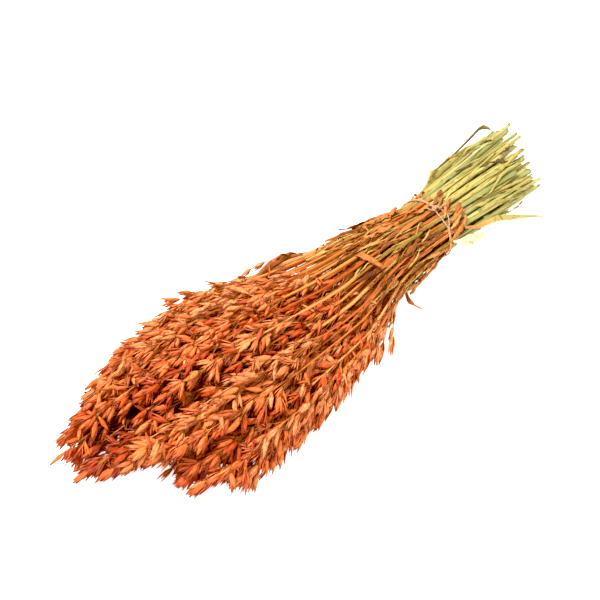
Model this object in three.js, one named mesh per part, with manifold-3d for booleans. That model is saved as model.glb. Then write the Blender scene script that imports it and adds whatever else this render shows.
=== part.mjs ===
import * as THREE from 'three';
import { mergeVertices } from 'three/addons/utils/BufferGeometryUtils.js';
import Module from 'manifold-3d';

const wasm = await Module();
wasm.setup();

// Dried oats bundle, lying on a surface, in millimetres with +Z up.
// The cut straws are at +X and the panicles, full of spikelets, point to -X.

// The bundle along its length
const BUTT_END = 398;
const TIE_AT = 200;
const HEAD_END = -306;

// The bundle's cross-section at stations along its length: half width, half height, and its middle's place
const SECTIONS = [
  { x: 400, halfWidth: 54, halfHeight: 33, aside: 17, middle: 30 },
  { x: TIE_AT, halfWidth: 39.5, halfHeight: 29, aside: 4, middle: 38 },
  { x: 110, halfWidth: 46, halfHeight: 33, aside: -3, middle: 43 },
  { x: 10, halfWidth: 75, halfHeight: 42, aside: -7, middle: 46 },
  { x: -100, halfWidth: 97, halfHeight: 49, aside: -5, middle: 47.5 },
  { x: -210, halfWidth: 95, halfHeight: 45, aside: -5, middle: 43.5 },
  { x: -320, halfWidth: 70, halfHeight: 30, aside: 4, middle: 34 },
];
const UNDERSIDE_FLATTENING = 0.9;

// Straws, two to a node, pressed together where the tie holds them
const PAIRS = 52;
const STRAW_RADIUS = 2.8;
const NECK_RADIUS = 1.9;
const PANICLE_RADIUS = 1.5;
const TIP_RADIUS = 1.1;
const STRAW_SIDES = 4;
const STRAW_ROLL = 0.9;
const NECK_AT = 110;
const STRAW_SPACING = 6.9;
const PAIR_SPACING = 6.2;
const SETTLING_ROUNDS = 120;
const PINCH = 0.4;
const PINCH_LENGTH = 36;
const BUNDLE_TURN = 0.0011;
const HEAD_SWAY = 1.5;
const BUTT_SWAY = 0.5;
const SWAY_LENGTH = 130;
const SWAY_WAVE_ACROSS = 47;
const SWAY_WAVE_UP = 53;
const BUTT_UNEVENNESS = 38;
const BUTT_SLANT = 24;

// Panicles: whorls of spikelets on the stem that runs on from the straw, and one spikelet at its tip
const SHORTEST_PANICLE = 200;
const LONGEST_PANICLE = 258;
const LAST_PANICLE_START = 90;
const HEAD_SLANT = 6;
const HEAD_ROUNDING = 62;
const HEAD_UNEVENNESS = 45;
const LOBES = 22;
const LOBES_ACROSS = 5.5;
const LOBES_UP = 4;
const SHORT_SHARE = 0.25;
const SHORTER_BY = 44;
const SHORTEST_BY = 110;
const WHORLS_OUTSIDE = 3;
const WHORLS_INSIDE = 2;
const WHORL_LENGTH = 5;
const FIRST_IN_STEP = 0.12;
const LAST_IN_STEP = 0.78;
const SPIKELET_LENGTH = 25;
const SPIKELET_WIDTH = 5.2;
const SPIKELET_THICKNESS = 4;
const WIDEST_AT = 0.45;
const CORNER = 0.75;
const SPIKELET_TRIES = 5;
const LEAST_LEAN = 0.42;
const MOST_LEAN = 0.85;
const TURN_ASIDE = 0.5;
const CLEARANCE = 0.6;
const PRESSED = 4;

// Leaves that hang from the outer straws: where each leaves its straw and ends along the bundle, its
// direction round the bundle in degrees (0 is +Y and 90 is up), how far its end lifts off, and its width
const LEAVES = [
  { from: 226, to: 396, direction: 30, lift: 24, width: 7 },
  { from: 224, to: 342, direction: -156, lift: 22, width: 10 },
  { from: 220, to: 268, direction: -138, lift: 15, width: 16 },
  { from: 224, to: 300, direction: 92, lift: 9, width: 7 },
  { from: 222, to: 336, direction: -6, lift: 18, width: 8 },
  { from: 150, to: 84, direction: 84, lift: 14, width: 13 },
  { from: 168, to: 104, direction: 118, lift: 12, width: 12 },
  { from: 168, to: 96, direction: 34, lift: 13, width: 9 },
  { from: 150, to: 84, direction: 188, lift: 17, width: 8 },
  { from: 178, to: 112, direction: 56, lift: 9, width: 9 },
  { from: 182, to: 108, direction: -160, lift: 12, width: 9 },
  { from: 184, to: 86, direction: 8, lift: 14, width: 8 },
];
const LEAF_THICKNESS = 0.8;
const LEAF_STEPS = 6;
const LEAF_FOLD = 0.35;
const LEAF_CLEARANCE = 5.5;
const LEAF_LEAVES_BY = 0.25;
const LEAF_BASE_WIDTH = 0.2;

// Twine: two turns side by side, a knot on top and two short ends
const TWINE_RADIUS = 1.25;
const TWINE_GAP = 0.35;
const TWINE_STEPS = 32;
const TWINE_SIDES = 5;
const KNOT_RADIUS = 3.2;
const KNOT_DIRECTION = 98;
const END_LENGTH = 22;
const END_RISE = 5;

const GOLDEN_ANGLE = Math.PI * (3 - Math.sqrt(5));
const STRAW_COLOUR = 0xb67a3c;
const HUSK_COLOUR = 0xc2602f;
const TWINE_COLOUR = 0xc79a78;

// A repeatable draw between 0 and 1 for item k, with a seed for each quality
function draw(k, seed) {
  const value = Math.sin(k * 12.9898 + seed * 78.233) * 43758.5453;
  return value - Math.floor(value);
}

function mix(from, to, share) {
  return from + (to - from) * share;
}

// The places of the straws in the tie's oval: pushed apart until they lie side by side
function settledStraws() {
  const tie = SECTIONS[1];
  const straws = [];
  for (let pair = 0; pair < PAIRS; pair++) {
    const radius = Math.sqrt((pair + 0.5) / PAIRS);
    const angle = pair * GOLDEN_ANGLE;
    for (const side of [-1, 1]) {
      straws.push({
        pair,
        side,
        y: tie.halfWidth * radius * Math.cos(angle) - side * Math.sin(angle) * PAIR_SPACING / 2,
        z: tie.halfHeight * radius * Math.sin(angle) + side * Math.cos(angle) * PAIR_SPACING / 2,
      });
    }
  }
  for (let round = 0; round < SETTLING_ROUNDS; round++) {
    for (let i = 0; i < straws.length; i++) {
      for (let j = i + 1; j < straws.length; j++) {
        const a = straws[i];
        const b = straws[j];
        const together = a.pair === b.pair;
        const dy = b.y - a.y;
        const dz = b.z - a.z;
        const apart = Math.hypot(dy, dz);
        const wanted = together ? PAIR_SPACING : STRAW_SPACING;
        if (!together && apart >= wanted) continue;
        const push = (wanted - apart) / apart / 4;
        a.y -= dy * push;
        a.z -= dz * push;
        b.y += dy * push;
        b.z += dz * push;
      }
    }
    for (const straw of straws) {
      const out = Math.hypot(straw.y / tie.halfWidth, straw.z / tie.halfHeight);
      if (out > 1) {
        straw.y /= out;
        straw.z /= out;
      }
    }
  }
  straws.forEach((straw, k) => {
    straw.u = straw.y / tie.halfWidth;
    straw.v = straw.z / tie.halfHeight;
    straw.out = Math.min(1, Math.hypot(straw.u, straw.v));
    straw.k = k;
  });
  return straws;
}

// The bundle's cross-section at any x
function sectionAt(x) {
  let next = 1;
  while (next < SECTIONS.length - 1 && x < SECTIONS[next].x) next++;
  const a = SECTIONS[next - 1];
  const b = SECTIONS[next];
  const share = (a.x - x) / (a.x - b.x);
  return {
    halfWidth: mix(a.halfWidth, b.halfWidth, share),
    halfHeight: mix(a.halfHeight, b.halfHeight, share),
    aside: mix(a.aside, b.aside, share),
    middle: mix(a.middle, b.middle, share),
  };
}

// Where a straw passes a station: the bundle turns a little, the tie pinches each pair, each straw sways
function strawAtStation(straw, x) {
  const section = sectionAt(x);
  const turn = BUNDLE_TURN * (x - TIE_AT);
  const partner = straws[straw.k - straw.side];
  const pinch = PINCH * Math.exp(-(((x - TIE_AT) / PINCH_LENGTH) ** 2));
  const u = mix(straw.u, (straw.u + partner.u) / 2, pinch);
  const v = mix(straw.v, (straw.v + partner.v) / 2, pinch);
  const across = u * Math.cos(turn) - v * Math.sin(turn);
  const up = u * Math.sin(turn) + v * Math.cos(turn);
  const most = x > TIE_AT ? BUTT_SWAY : HEAD_SWAY;
  const sway = most * (1 - Math.exp(-(((x - TIE_AT) / SWAY_LENGTH) ** 2)));
  const low = up < 0 ? UNDERSIDE_FLATTENING : 1;
  return new THREE.Vector3(
    x,
    section.aside + section.halfWidth * across + sway * Math.sin(x / SWAY_WAVE_ACROSS + straw.k * 2.4),
    section.middle + section.halfHeight * low * up + sway * Math.cos(x / SWAY_WAVE_UP + straw.k * 1.7),
  );
}

// Between stations a straw is straight, so that neighbours keep their order
function strawAt(straw, x) {
  let next = 1;
  while (next < SECTIONS.length - 1 && x < SECTIONS[next].x) next++;
  const from = SECTIONS[next - 1].x;
  const to = SECTIONS[next].x;
  const start = strawAtStation(straw, from);
  return start.lerp(strawAtStation(straw, to), (from - x) / (from - to));
}

// Each straw's own length: the inner ones reach further, and some short ones fill the back of the head
function measureStraw(straw) {
  straw.butt = BUTT_END + BUTT_SLANT * straw.u - BUTT_UNEVENNESS * draw(straw.k, 1) ** 1.5;
  const lobe = LOBES * Math.sin(LOBES_ACROSS * straw.u + LOBES_UP * straw.v);
  const rounded = HEAD_END - HEAD_SLANT * straw.u + HEAD_ROUNDING * straw.out ** 2;
  const reach = rounded + lobe + HEAD_UNEVENNESS * draw(straw.k, 2);
  const short = draw(straw.k, 3) < SHORT_SHARE ? mix(SHORTER_BY, SHORTEST_BY, draw(straw.k, 4)) : 0;
  straw.tip = reach + short + SPIKELET_LENGTH;
  const panicle = mix(SHORTEST_PANICLE, LONGEST_PANICLE, draw(straw.k, 5));
  straw.panicleStart = Math.min(LAST_PANICLE_START, straw.tip + panicle);
  const whorls = Math.round(mix(WHORLS_INSIDE, WHORLS_OUTSIDE, straw.out ** 4));
  const stations = [straw.butt, TIE_AT, NECK_AT];
  straw.whorls = [];
  for (let i = 0; i < whorls; i++) {
    const share = (i + mix(FIRST_IN_STEP, LAST_IN_STEP, draw(straw.k * 5 + i, 6))) / whorls;
    const x = mix(straw.panicleStart, straw.tip, share);
    stations.push(x, x - WHORL_LENGTH);
    straw.whorls.push(stations.length - 2);
  }
  stations.push(straw.tip);
  straw.stations = stations;
}

function strawRadius(straw, x) {
  if (x > NECK_AT) return STRAW_RADIUS;
  if (x > straw.panicleStart) {
    return mix(STRAW_RADIUS, NECK_RADIUS, (NECK_AT - x) / (NECK_AT - straw.panicleStart));
  }
  return mix(PANICLE_RADIUS, TIP_RADIUS, (straw.panicleStart - x) / (straw.panicleStart - straw.tip));
}

// A closed skin of triangles, grown ring by ring from corners
class Skin {
  constructor() {
    this.corners = [];
    this.faces = [];
  }

  corner(point) {
    this.corners.push(point.x, point.y, point.z);
    return this.corners.length / 3 - 1;
  }

  face(a, b, c) {
    this.faces.push(a, b, c);
  }

  // A wall from one loop of corners to the next
  wall(loop, next) {
    for (let i = 0; i < loop.length; i++) {
      const j = (i + 1) % loop.length;
      this.face(loop[i], loop[j], next[j]);
      this.face(loop[i], next[j], next[i]);
    }
  }

  // A point that closes a loop
  point(loop, tip) {
    for (let i = 0; i < loop.length; i++) this.face(loop[i], loop[(i + 1) % loop.length], tip);
  }

  solid() {
    return new wasm.Manifold(new wasm.Mesh({
      numProp: 3,
      vertProperties: new Float32Array(this.corners),
      triVerts: new Uint32Array(this.faces),
    }));
  }
}

// The corners of a straw's ring, turned in the same way all along it
function ringCorner(straw, x, side) {
  const angle = straw.k * STRAW_ROLL + side * 2 * Math.PI / STRAW_SIDES;
  const radius = strawRadius(straw, x);
  const corner = strawAt(straw, x);
  corner.y += radius * Math.cos(angle);
  corner.z += radius * Math.sin(angle);
  return corner;
}

// A spikelet leans forward from one side of a whorl: narrow at its root, widest before its middle, pointed
function spikeletAt(straw, station, side, attempt) {
  const x = straw.stations[station] - WHORL_LENGTH / 2;
  const item = straw.k * 61 + station * 17 + side * 5 + attempt * 3;
  const facing = straw.k * STRAW_ROLL + (side + 0.5) * 2 * Math.PI / STRAW_SIDES;
  const outwards = facing + TURN_ASIDE * (draw(item, 7) - 0.5);
  const lean = mix(LEAST_LEAN, MOST_LEAN, draw(item, 8));
  const away = new THREE.Vector3(0, Math.cos(outwards), Math.sin(outwards));
  const along = new THREE.Vector3(-Math.cos(lean), 0, 0).addScaledVector(away, Math.sin(lean));
  const inset = strawRadius(straw, x) * Math.cos(Math.PI / STRAW_SIDES);
  const from = strawAt(straw, x);
  from.y += inset * Math.cos(facing);
  from.z += inset * Math.sin(facing);
  const to = from.clone().addScaledVector(along, SPIKELET_LENGTH);
  return { straw, station, side, away, along, lean, from, to, radiusAt: spikeletRadius };
}

function spikeletRadius(share) {
  const half = SPIKELET_WIDTH / 2;
  if (share < WIDEST_AT) return mix(WHORL_LENGTH / 4, half, share / WIDEST_AT);
  return mix(half, 0, (share - WIDEST_AT) / (1 - WIDEST_AT));
}

// The least gap between two tapered pieces, each a line with a radius that varies along it
function gapBetween(a, b) {
  const alongA = a.to.clone().sub(a.from);
  const alongB = b.to.clone().sub(b.from);
  const between = a.from.clone().sub(b.from);
  const lengthA = alongA.lengthSq();
  const lengthB = alongB.lengthSq();
  const aToBetween = alongA.dot(between);
  const bToBetween = alongB.dot(between);
  const shared = alongA.dot(alongB);
  const spread = lengthA * lengthB - shared * shared;
  let s = 0.5;
  if (spread > 1e-9) s = THREE.MathUtils.clamp((shared * bToBetween - aToBetween * lengthB) / spread, 0, 1);
  let t = (shared * s + bToBetween) / lengthB;
  if (t < 0) s = THREE.MathUtils.clamp(-aToBetween / lengthA, 0, 1);
  if (t > 1) s = THREE.MathUtils.clamp((shared - aToBetween) / lengthA, 0, 1);
  t = THREE.MathUtils.clamp(t, 0, 1);
  const onA = a.from.clone().addScaledVector(alongA, s);
  const onB = b.from.clone().addScaledVector(alongB, t);
  return onA.distanceTo(onB) - a.radiusAt(s) - b.radiusAt(t);
}

// Every straw as a row of tapered pieces, for keeping spikelets clear of it
function stemPieces() {
  const pieces = [];
  for (const straw of straws) {
    for (let i = 0; i + 1 < straw.stations.length; i++) {
      const thick = strawRadius(straw, straw.stations[i]);
      const thin = strawRadius(straw, straw.stations[i + 1]);
      pieces.push({
        straw,
        from: strawAt(straw, straw.stations[i]),
        to: strawAt(straw, straw.stations[i + 1]),
        radiusAt: (share) => mix(thick, thin, share),
      });
    }
    const from = strawAt(straw, straw.tip);
    const to = from.clone();
    to.x -= SPIKELET_LENGTH;
    pieces.push({ straw, from, to, radiusAt: spikeletRadius });
  }
  return pieces;
}

// Spikelets on each side of each whorl, clear of all other straws and of each other
function placeSpikelets() {
  const stems = stemPieces();
  const placed = [];
  for (const straw of straws) straw.spikelets = new Map();
  for (let whorl = 0; whorl < WHORLS_OUTSIDE; whorl++) {
    for (let side = 0; side < STRAW_SIDES; side++) {
      for (const straw of straws) {
        if (whorl >= straw.whorls.length) continue;
        const station = straw.whorls[whorl];
        for (let attempt = 0; attempt < SPIKELET_TRIES; attempt++) {
          const spikelet = spikeletAt(straw, station, side, attempt);
          if (spikelet.to.z < -PRESSED) continue;
          const sameWhorl = (other) => other.straw === straw && other.station === station;
          if (stems.some((stem) => stem.straw !== straw && gapBetween(spikelet, stem) < CLEARANCE)) continue;
          if (placed.some((other) => !sameWhorl(other) && gapBetween(spikelet, other) < CLEARANCE)) continue;
          placed.push(spikelet);
          straw.spikelets.set(`${station} ${side}`, spikelet);
          break;
        }
      }
    }
  }
}

// A spikelet grown from four corners of its whorl
function growSpikelet(skin, loop, spikelet) {
  const { away, along, lean, from, to } = spikelet;
  const middle = from.clone().addScaledVector(along, SPIKELET_LENGTH * WIDEST_AT);
  const under = new THREE.Vector3(-Math.sin(lean), 0, 0).addScaledVector(away, -Math.cos(lean));
  const aside = new THREE.Vector3(0, -away.z, away.y);
  const thick = SPIKELET_THICKNESS / 2 * CORNER;
  const wide = SPIKELET_WIDTH / 2 * CORNER;
  const ring = [[-1, -1], [1, -1], [1, 1], [-1, 1]].map(([down, across]) => skin.corner(
    middle.clone().addScaledVector(under, down * thick).addScaledVector(aside, across * wide),
  ));
  skin.wall(loop, ring);
  skin.point(ring, skin.corner(to));
}

// A straw and its panicle in one skin, from the cut butt to the tip's spikelet
function strawSolid(straw) {
  const skin = new Skin();
  const sides = [...Array(STRAW_SIDES).keys()];
  const rings = straw.stations.map((x) => sides.map((side) => skin.corner(ringCorner(straw, x, side))));
  const butt = rings[0];
  for (let i = 1; i + 1 < STRAW_SIDES; i++) skin.face(butt[0], butt[i], butt[i + 1]);
  for (let station = 0; station + 1 < rings.length; station++) {
    for (const side of sides) {
      const next = (side + 1) % STRAW_SIDES;
      const [here, there] = [rings[station], rings[station + 1]];
      const loop = [here[side], there[side], there[next], here[next]];
      const spikelet = straw.spikelets.get(`${station} ${side}`);
      if (spikelet) {
        growSpikelet(skin, loop, spikelet);
      } else {
        skin.face(loop[0], loop[1], loop[3]);
        skin.face(loop[3], loop[1], loop[2]);
      }
    }
  }
  const end = rings[rings.length - 1];
  const tip = strawAt(straw, straw.tip);
  const widest = sides.map((side) => {
    const angle = straw.k * STRAW_ROLL + side * 2 * Math.PI / STRAW_SIDES;
    return skin.corner(new THREE.Vector3(
      tip.x - SPIKELET_LENGTH * WIDEST_AT,
      tip.y + SPIKELET_WIDTH / 2 * Math.cos(angle),
      tip.z + SPIKELET_WIDTH / 2 * Math.sin(angle),
    ));
  });
  end.reverse();
  widest.reverse();
  skin.wall(end, widest);
  skin.point(widest, skin.corner(new THREE.Vector3(tip.x - SPIKELET_LENGTH, tip.y, tip.z)));
  return skin.solid();
}

// The straw that a leaf hangs from: the outermost one in the leaf's direction
function hostOf(leaf) {
  const section = sectionAt(leaf.from);
  const direction = THREE.MathUtils.degToRad(leaf.direction);
  const reach = (straw) => {
    const place = strawAt(straw, leaf.from);
    const across = (place.y - section.aside) / section.halfWidth;
    const up = (place.z - section.middle) / section.halfHeight;
    return across * Math.cos(direction) + up * Math.sin(direction);
  };
  return straws.reduce((best, straw) => (reach(straw) > reach(best) ? straw : best));
}

// A leaf's place and facing at a share of its length: it leaves the straw and runs outside the bundle
function leafFrame(leaf, host, share) {
  const x = mix(leaf.from, leaf.to, share);
  const section = sectionAt(x);
  const direction = THREE.MathUtils.degToRad(leaf.direction);
  const low = Math.sin(direction) < 0 ? UNDERSIDE_FLATTENING : 1;
  const off = mix(LEAF_CLEARANCE, leaf.lift, share ** 1.5);
  const outside = new THREE.Vector3(
    x,
    section.aside + (section.halfWidth + off) * Math.cos(direction),
    section.middle + (section.halfHeight * low + off) * Math.sin(direction),
  );
  const leaving = Math.min(1, share / LEAF_LEAVES_BY);
  const middle = strawAt(host, x).lerp(outside, leaving * (2 - leaving));
  const facing = new THREE.Vector3(
    0,
    section.halfHeight * Math.cos(direction),
    section.halfWidth * Math.sin(direction),
  ).normalize();
  const onward = Math.sign(leaf.to - leaf.from);
  const across = new THREE.Vector3(0, onward * facing.z, -onward * facing.y);
  const swell = Math.sin(Math.PI * (0.06 + share * 0.9));
  const half = leaf.width / 2 * mix(LEAF_BASE_WIDTH, 1, swell);
  return { middle, facing, across, half };
}

// A leaf is a thin folded ribbon, its two faces split into triangles in the same way
function leafSolid(leaf, host) {
  const grid = new THREE.PlaneGeometry(2, 1, 2, LEAF_STEPS);
  const skin = new Skin();
  const upper = [];
  const lower = [];
  for (let i = 0; i < grid.attributes.position.count; i++) {
    const side = grid.attributes.position.getX(i);
    const share = 0.5 - grid.attributes.position.getY(i);
    const { middle, facing, across, half } = leafFrame(leaf, host, share);
    const place = middle.addScaledVector(across, side * half);
    place.addScaledVector(facing, Math.abs(side) * half * LEAF_FOLD);
    upper.push(skin.corner(place.clone().addScaledVector(facing, LEAF_THICKNESS / 2)));
    lower.push(skin.corner(place.clone().addScaledVector(facing, -LEAF_THICKNESS / 2)));
  }
  for (let i = 0; i < grid.index.count; i += 3) {
    const [a, b, c] = [0, 1, 2].map((step) => grid.index.getX(i + step));
    skin.face(upper[a], upper[b], upper[c]);
    skin.face(lower[c], lower[b], lower[a]);
  }
  const rows = [...Array(LEAF_STEPS + 1).keys()];
  const left = rows.map((row) => row * 3);
  const right = rows.map((row) => row * 3 + 2).reverse();
  const rim = [...left, LEAF_STEPS * 3 + 1, ...right, 1];
  skin.wall(rim.map((i) => lower[i]), rim.map((i) => upper[i]));
  return skin.solid();
}

// A closed solid from a geometry whose shared corners are merged
function solidOf(geometry) {
  const bare = geometry.clone();
  bare.deleteAttribute('normal');
  bare.deleteAttribute('uv');
  const merged = mergeVertices(bare, 1e-4);
  return new wasm.Manifold(new wasm.Mesh({
    numProp: 3,
    vertProperties: new Float32Array(merged.attributes.position.array),
    triVerts: new Uint32Array(merged.index.array),
  }));
}

function geometryOf(solid) {
  const mesh = solid.getMesh();
  const geometry = new THREE.BufferGeometry();
  geometry.setAttribute('position', new THREE.BufferAttribute(new Float32Array(mesh.vertProperties), 3));
  geometry.setIndex(new THREE.BufferAttribute(new Uint32Array(mesh.triVerts), 1));
  geometry.computeVertexNormals();
  return geometry;
}

// A point on the twine's line, at a direction in degrees round the straws, raised by a height
function twinePoint(direction, height) {
  const tie = sectionAt(TIE_AT);
  const angle = THREE.MathUtils.degToRad(direction);
  const low = Math.sin(angle) < 0 ? UNDERSIDE_FLATTENING : 1;
  const reach = STRAW_RADIUS + TWINE_GAP + TWINE_RADIUS + height;
  return new THREE.Vector3(
    TIE_AT,
    tie.aside + (tie.halfWidth + reach) * Math.cos(angle),
    tie.middle + (tie.halfHeight * low + reach) * Math.sin(angle),
  );
}

// The two turns, as one ring whose section is twice as wide as high
function twineRing() {
  const ring = new THREE.TorusGeometry(1, 0.5, 8, TWINE_STEPS);
  const place = ring.attributes.position;
  const corner = new THREE.Vector3();
  for (let i = 0; i < place.count; i++) {
    corner.fromBufferAttribute(place, i);
    const direction = THREE.MathUtils.radToDeg(Math.atan2(corner.y, corner.x));
    const outward = (Math.hypot(corner.x, corner.y) - 1) * 2;
    const onRing = twinePoint(direction, outward * TWINE_RADIUS);
    place.setXYZ(i, TIE_AT + corner.z * 4 * TWINE_RADIUS, onRing.y, onRing.z);
  }
  return solidOf(ring);
}

// A short end of twine that leaves the knot, lies out along the straws and rises at its tip
function twineEnd(onward, aside) {
  const knot = twinePoint(KNOT_DIRECTION, TWINE_RADIUS);
  const path = new THREE.QuadraticBezierCurve3(
    knot,
    new THREE.Vector3(knot.x + onward * END_LENGTH / 2, knot.y + aside / 2, knot.z + END_RISE / 2),
    new THREE.Vector3(knot.x + onward * END_LENGTH, knot.y + aside, knot.z + END_RISE),
  );
  const section = new THREE.Shape();
  for (let i = 0; i < TWINE_SIDES; i++) {
    const angle = i * 2 * Math.PI / TWINE_SIDES;
    const point = [TWINE_RADIUS * Math.cos(angle), TWINE_RADIUS * Math.sin(angle)];
    if (i === 0) section.moveTo(...point);
    else section.lineTo(...point);
  }
  return solidOf(new THREE.ExtrudeGeometry(section, { steps: 4, bevelEnabled: false, extrudePath: path }));
}

function tieSolid() {
  const knot = new THREE.SphereGeometry(KNOT_RADIUS, 7, 5);
  knot.scale(1.3, 1.2, 0.9);
  const place = twinePoint(KNOT_DIRECTION, TWINE_RADIUS);
  knot.translate(place.x, place.y, place.z);
  return wasm.Manifold.union([twineRing(), solidOf(knot), twineEnd(1, -10), twineEnd(-1, 12)]);
}

const straws = settledStraws();
straws.forEach(measureStraw);
placeSpikelets();

const bundle = new THREE.Group();
const laid = new THREE.Group();
bundle.add(laid);

function addNode(name, solid, colour, roughness) {
  const material = new THREE.MeshStandardMaterial({ color: colour, roughness, metalness: 0 });
  const mesh = new THREE.Mesh(geometryOf(solid), material);
  mesh.name = name;
  laid.add(mesh);
}

// Two straws and their panicles as one solid, cut level where they press on the surface
const surface = new THREE.BoxGeometry(2000, 1000, 100);
surface.translate(0, 0, -50);
const surfaceSolid = solidOf(surface);
const colour = new THREE.Color();
for (let pair = 0; pair < PAIRS; pair++) {
  const both = straws.filter((straw) => straw.pair === pair);
  const pieces = both.map(strawSolid);
  for (const leaf of LEAVES) {
    const host = hostOf(leaf);
    if (both.includes(host)) pieces.push(leafSolid(leaf, host));
  }
  let solid = wasm.Manifold.union(pieces);
  if (solid.boundingBox().min[2] < 0) solid = solid.subtract(surfaceSolid);
  const bodies = solid.decompose();
  bodies.sort((a, b) => b.volume() - a.volume());
  colour.set(STRAW_COLOUR).lerp(new THREE.Color(HUSK_COLOUR), mix(0.4, 1, draw(pair, 9)));
  addNode(`stalks_${String(pair + 1).padStart(2, '0')}`, bodies[0], colour.getHex(), 0.85);
}
addNode('tie', tieSolid(), TWINE_COLOUR, 0.95);

// The origin is at the middle of the bundle's underside
const box = new THREE.Box3().setFromObject(laid);
const middle = box.getCenter(new THREE.Vector3());
laid.position.set(-middle.x, -middle.y, -box.min.z);

export default bundle;
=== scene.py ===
# %% [markdown]
# # A bundle of dried oats, lying down
# The real thing is a bunch of about a hundred oat stalks, dyed rust orange from the heads down to the
# string that ties them, and left green and yellow at the cut ends. Every stalk's place and length are laid
# out here, and the imported frame's string says where the bunch lies. This script grows the fine things on
# them: straws with hollow ends, leaves, spikelets and twine.

import math
import random
from types import SimpleNamespace

import bmesh
import bpy
from mathutils import Matrix, Vector


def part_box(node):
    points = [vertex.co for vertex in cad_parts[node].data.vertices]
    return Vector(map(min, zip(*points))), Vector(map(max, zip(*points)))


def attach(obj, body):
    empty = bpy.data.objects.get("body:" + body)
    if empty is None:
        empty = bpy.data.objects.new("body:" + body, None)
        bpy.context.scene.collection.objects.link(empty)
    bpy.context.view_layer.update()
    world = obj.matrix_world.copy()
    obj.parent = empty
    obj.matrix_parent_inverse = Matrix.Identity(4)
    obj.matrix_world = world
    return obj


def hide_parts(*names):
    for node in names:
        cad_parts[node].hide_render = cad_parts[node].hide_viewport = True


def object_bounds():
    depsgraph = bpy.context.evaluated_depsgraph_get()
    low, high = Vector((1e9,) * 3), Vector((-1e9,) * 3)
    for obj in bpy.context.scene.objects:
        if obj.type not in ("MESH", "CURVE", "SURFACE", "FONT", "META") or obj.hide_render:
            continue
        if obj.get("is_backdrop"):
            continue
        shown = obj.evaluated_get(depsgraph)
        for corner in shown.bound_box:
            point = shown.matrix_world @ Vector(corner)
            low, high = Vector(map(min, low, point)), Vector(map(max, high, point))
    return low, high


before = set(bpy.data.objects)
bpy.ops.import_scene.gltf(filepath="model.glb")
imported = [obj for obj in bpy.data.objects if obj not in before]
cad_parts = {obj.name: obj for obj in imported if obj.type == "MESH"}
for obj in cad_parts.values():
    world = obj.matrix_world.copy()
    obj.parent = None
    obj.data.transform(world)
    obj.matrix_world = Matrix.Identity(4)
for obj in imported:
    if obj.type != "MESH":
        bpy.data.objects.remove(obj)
cad_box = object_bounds()
print("packed nodes:", len(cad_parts))

# %% [markdown]
# ## Millimetres along the bundle
# The stalks are laid out by formulas in millimetres, with x along the bundle: the string is at 200, the cut
# ends lie beyond it and the heads before it. All pieces are made in these numbers, which are easy to think
# in, and one matrix carries a finished piece to the frame's metres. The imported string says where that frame
# lies.

# %% From the bundle's millimetres to the frame's metres
TIE_AT = 200.0
TIE_ASIDE = 4.0
tie_low, tie_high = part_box("tie")
LAID = Vector((
    (tie_low.x + tie_high.x) * 500 - TIE_AT,
    (tie_low.y + tie_high.y) * 500 - TIE_ASIDE,
    0.0,
))
TO_FRAME = Matrix.Scale(0.001, 4) @ Matrix.Translation(LAID)
print("the bundle's zero lies at", [round(n, 2) for n in LAID], "mm")

# %% [markdown]
# ## The camera
# The picture is taken from above the near side of the heads, 45 degrees up, with the cut ends far away at
# the upper right. The lens is given as its focal length in picture widths, so the 36 mm sensor sets its
# number.

# %% Place the camera
AZIMUTH = math.radians(-44.6)
ELEVATION = math.radians(45)
DISTANCE = 0.96
FOCAL_WIDTHS = 896 / 600
SENSOR_WIDTH = 36
AIM = TO_FRAME @ Vector((0, 17, 50))


def placed(name, data):
    """A new object in the scene that holds the data."""
    thing = bpy.data.objects.new(name, data)
    bpy.context.scene.collection.objects.link(thing)
    return thing


back = Vector((
    math.sin(AZIMUTH) * math.cos(ELEVATION),
    -math.cos(AZIMUTH) * math.cos(ELEVATION),
    math.sin(ELEVATION),
))
camera_data = bpy.data.cameras.new("camera")
camera_data.sensor_width = SENSOR_WIDTH
camera_data.lens = SENSOR_WIDTH * FOCAL_WIDTHS
camera = placed("camera", camera_data)
camera.location = AIM + back * DISTANCE
camera.rotation_euler = back.to_track_quat("Z", "Y").to_euler()
bpy.context.scene.camera = camera
print("camera at", [round(n, 3) for n in camera.location])

# %% [markdown]
# ## Where each straw runs
# A hand that ties a bunch presses the straws together, so that they lie side by side in an oval. The same
# thing is done here: the straws start in a sunflower pattern, two by two, and push each other apart until
# they have room. The draws are taken from a sine, so that they come out the same in every run.

# %% Settle the straws in the tie
PAIRS = 52
STRAW_SPACING = 6.9
PAIR_SPACING = 6.2
SETTLING_ROUNDS = 120
GOLDEN_ANGLE = math.pi * (3 - math.sqrt(5))
TIE_HALF_WIDTH = 39.5
TIE_HALF_HEIGHT = 29.0


def draw(k, seed):
    value = math.sin(k * 12.9898 + seed * 78.233) * 43758.5453
    return value - math.floor(value)


def mix(start, end, share):
    return start + (end - start) * share


def along_stations(stations, x):
    """A value between stations, which run from the cut ends to the heads."""
    for (x0, value0), (x1, value1) in zip(stations, stations[1:]):
        if x >= x1:
            return mix(value0, value1, max(0, (x0 - x) / (x0 - x1)))
    return stations[-1][1]


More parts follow.
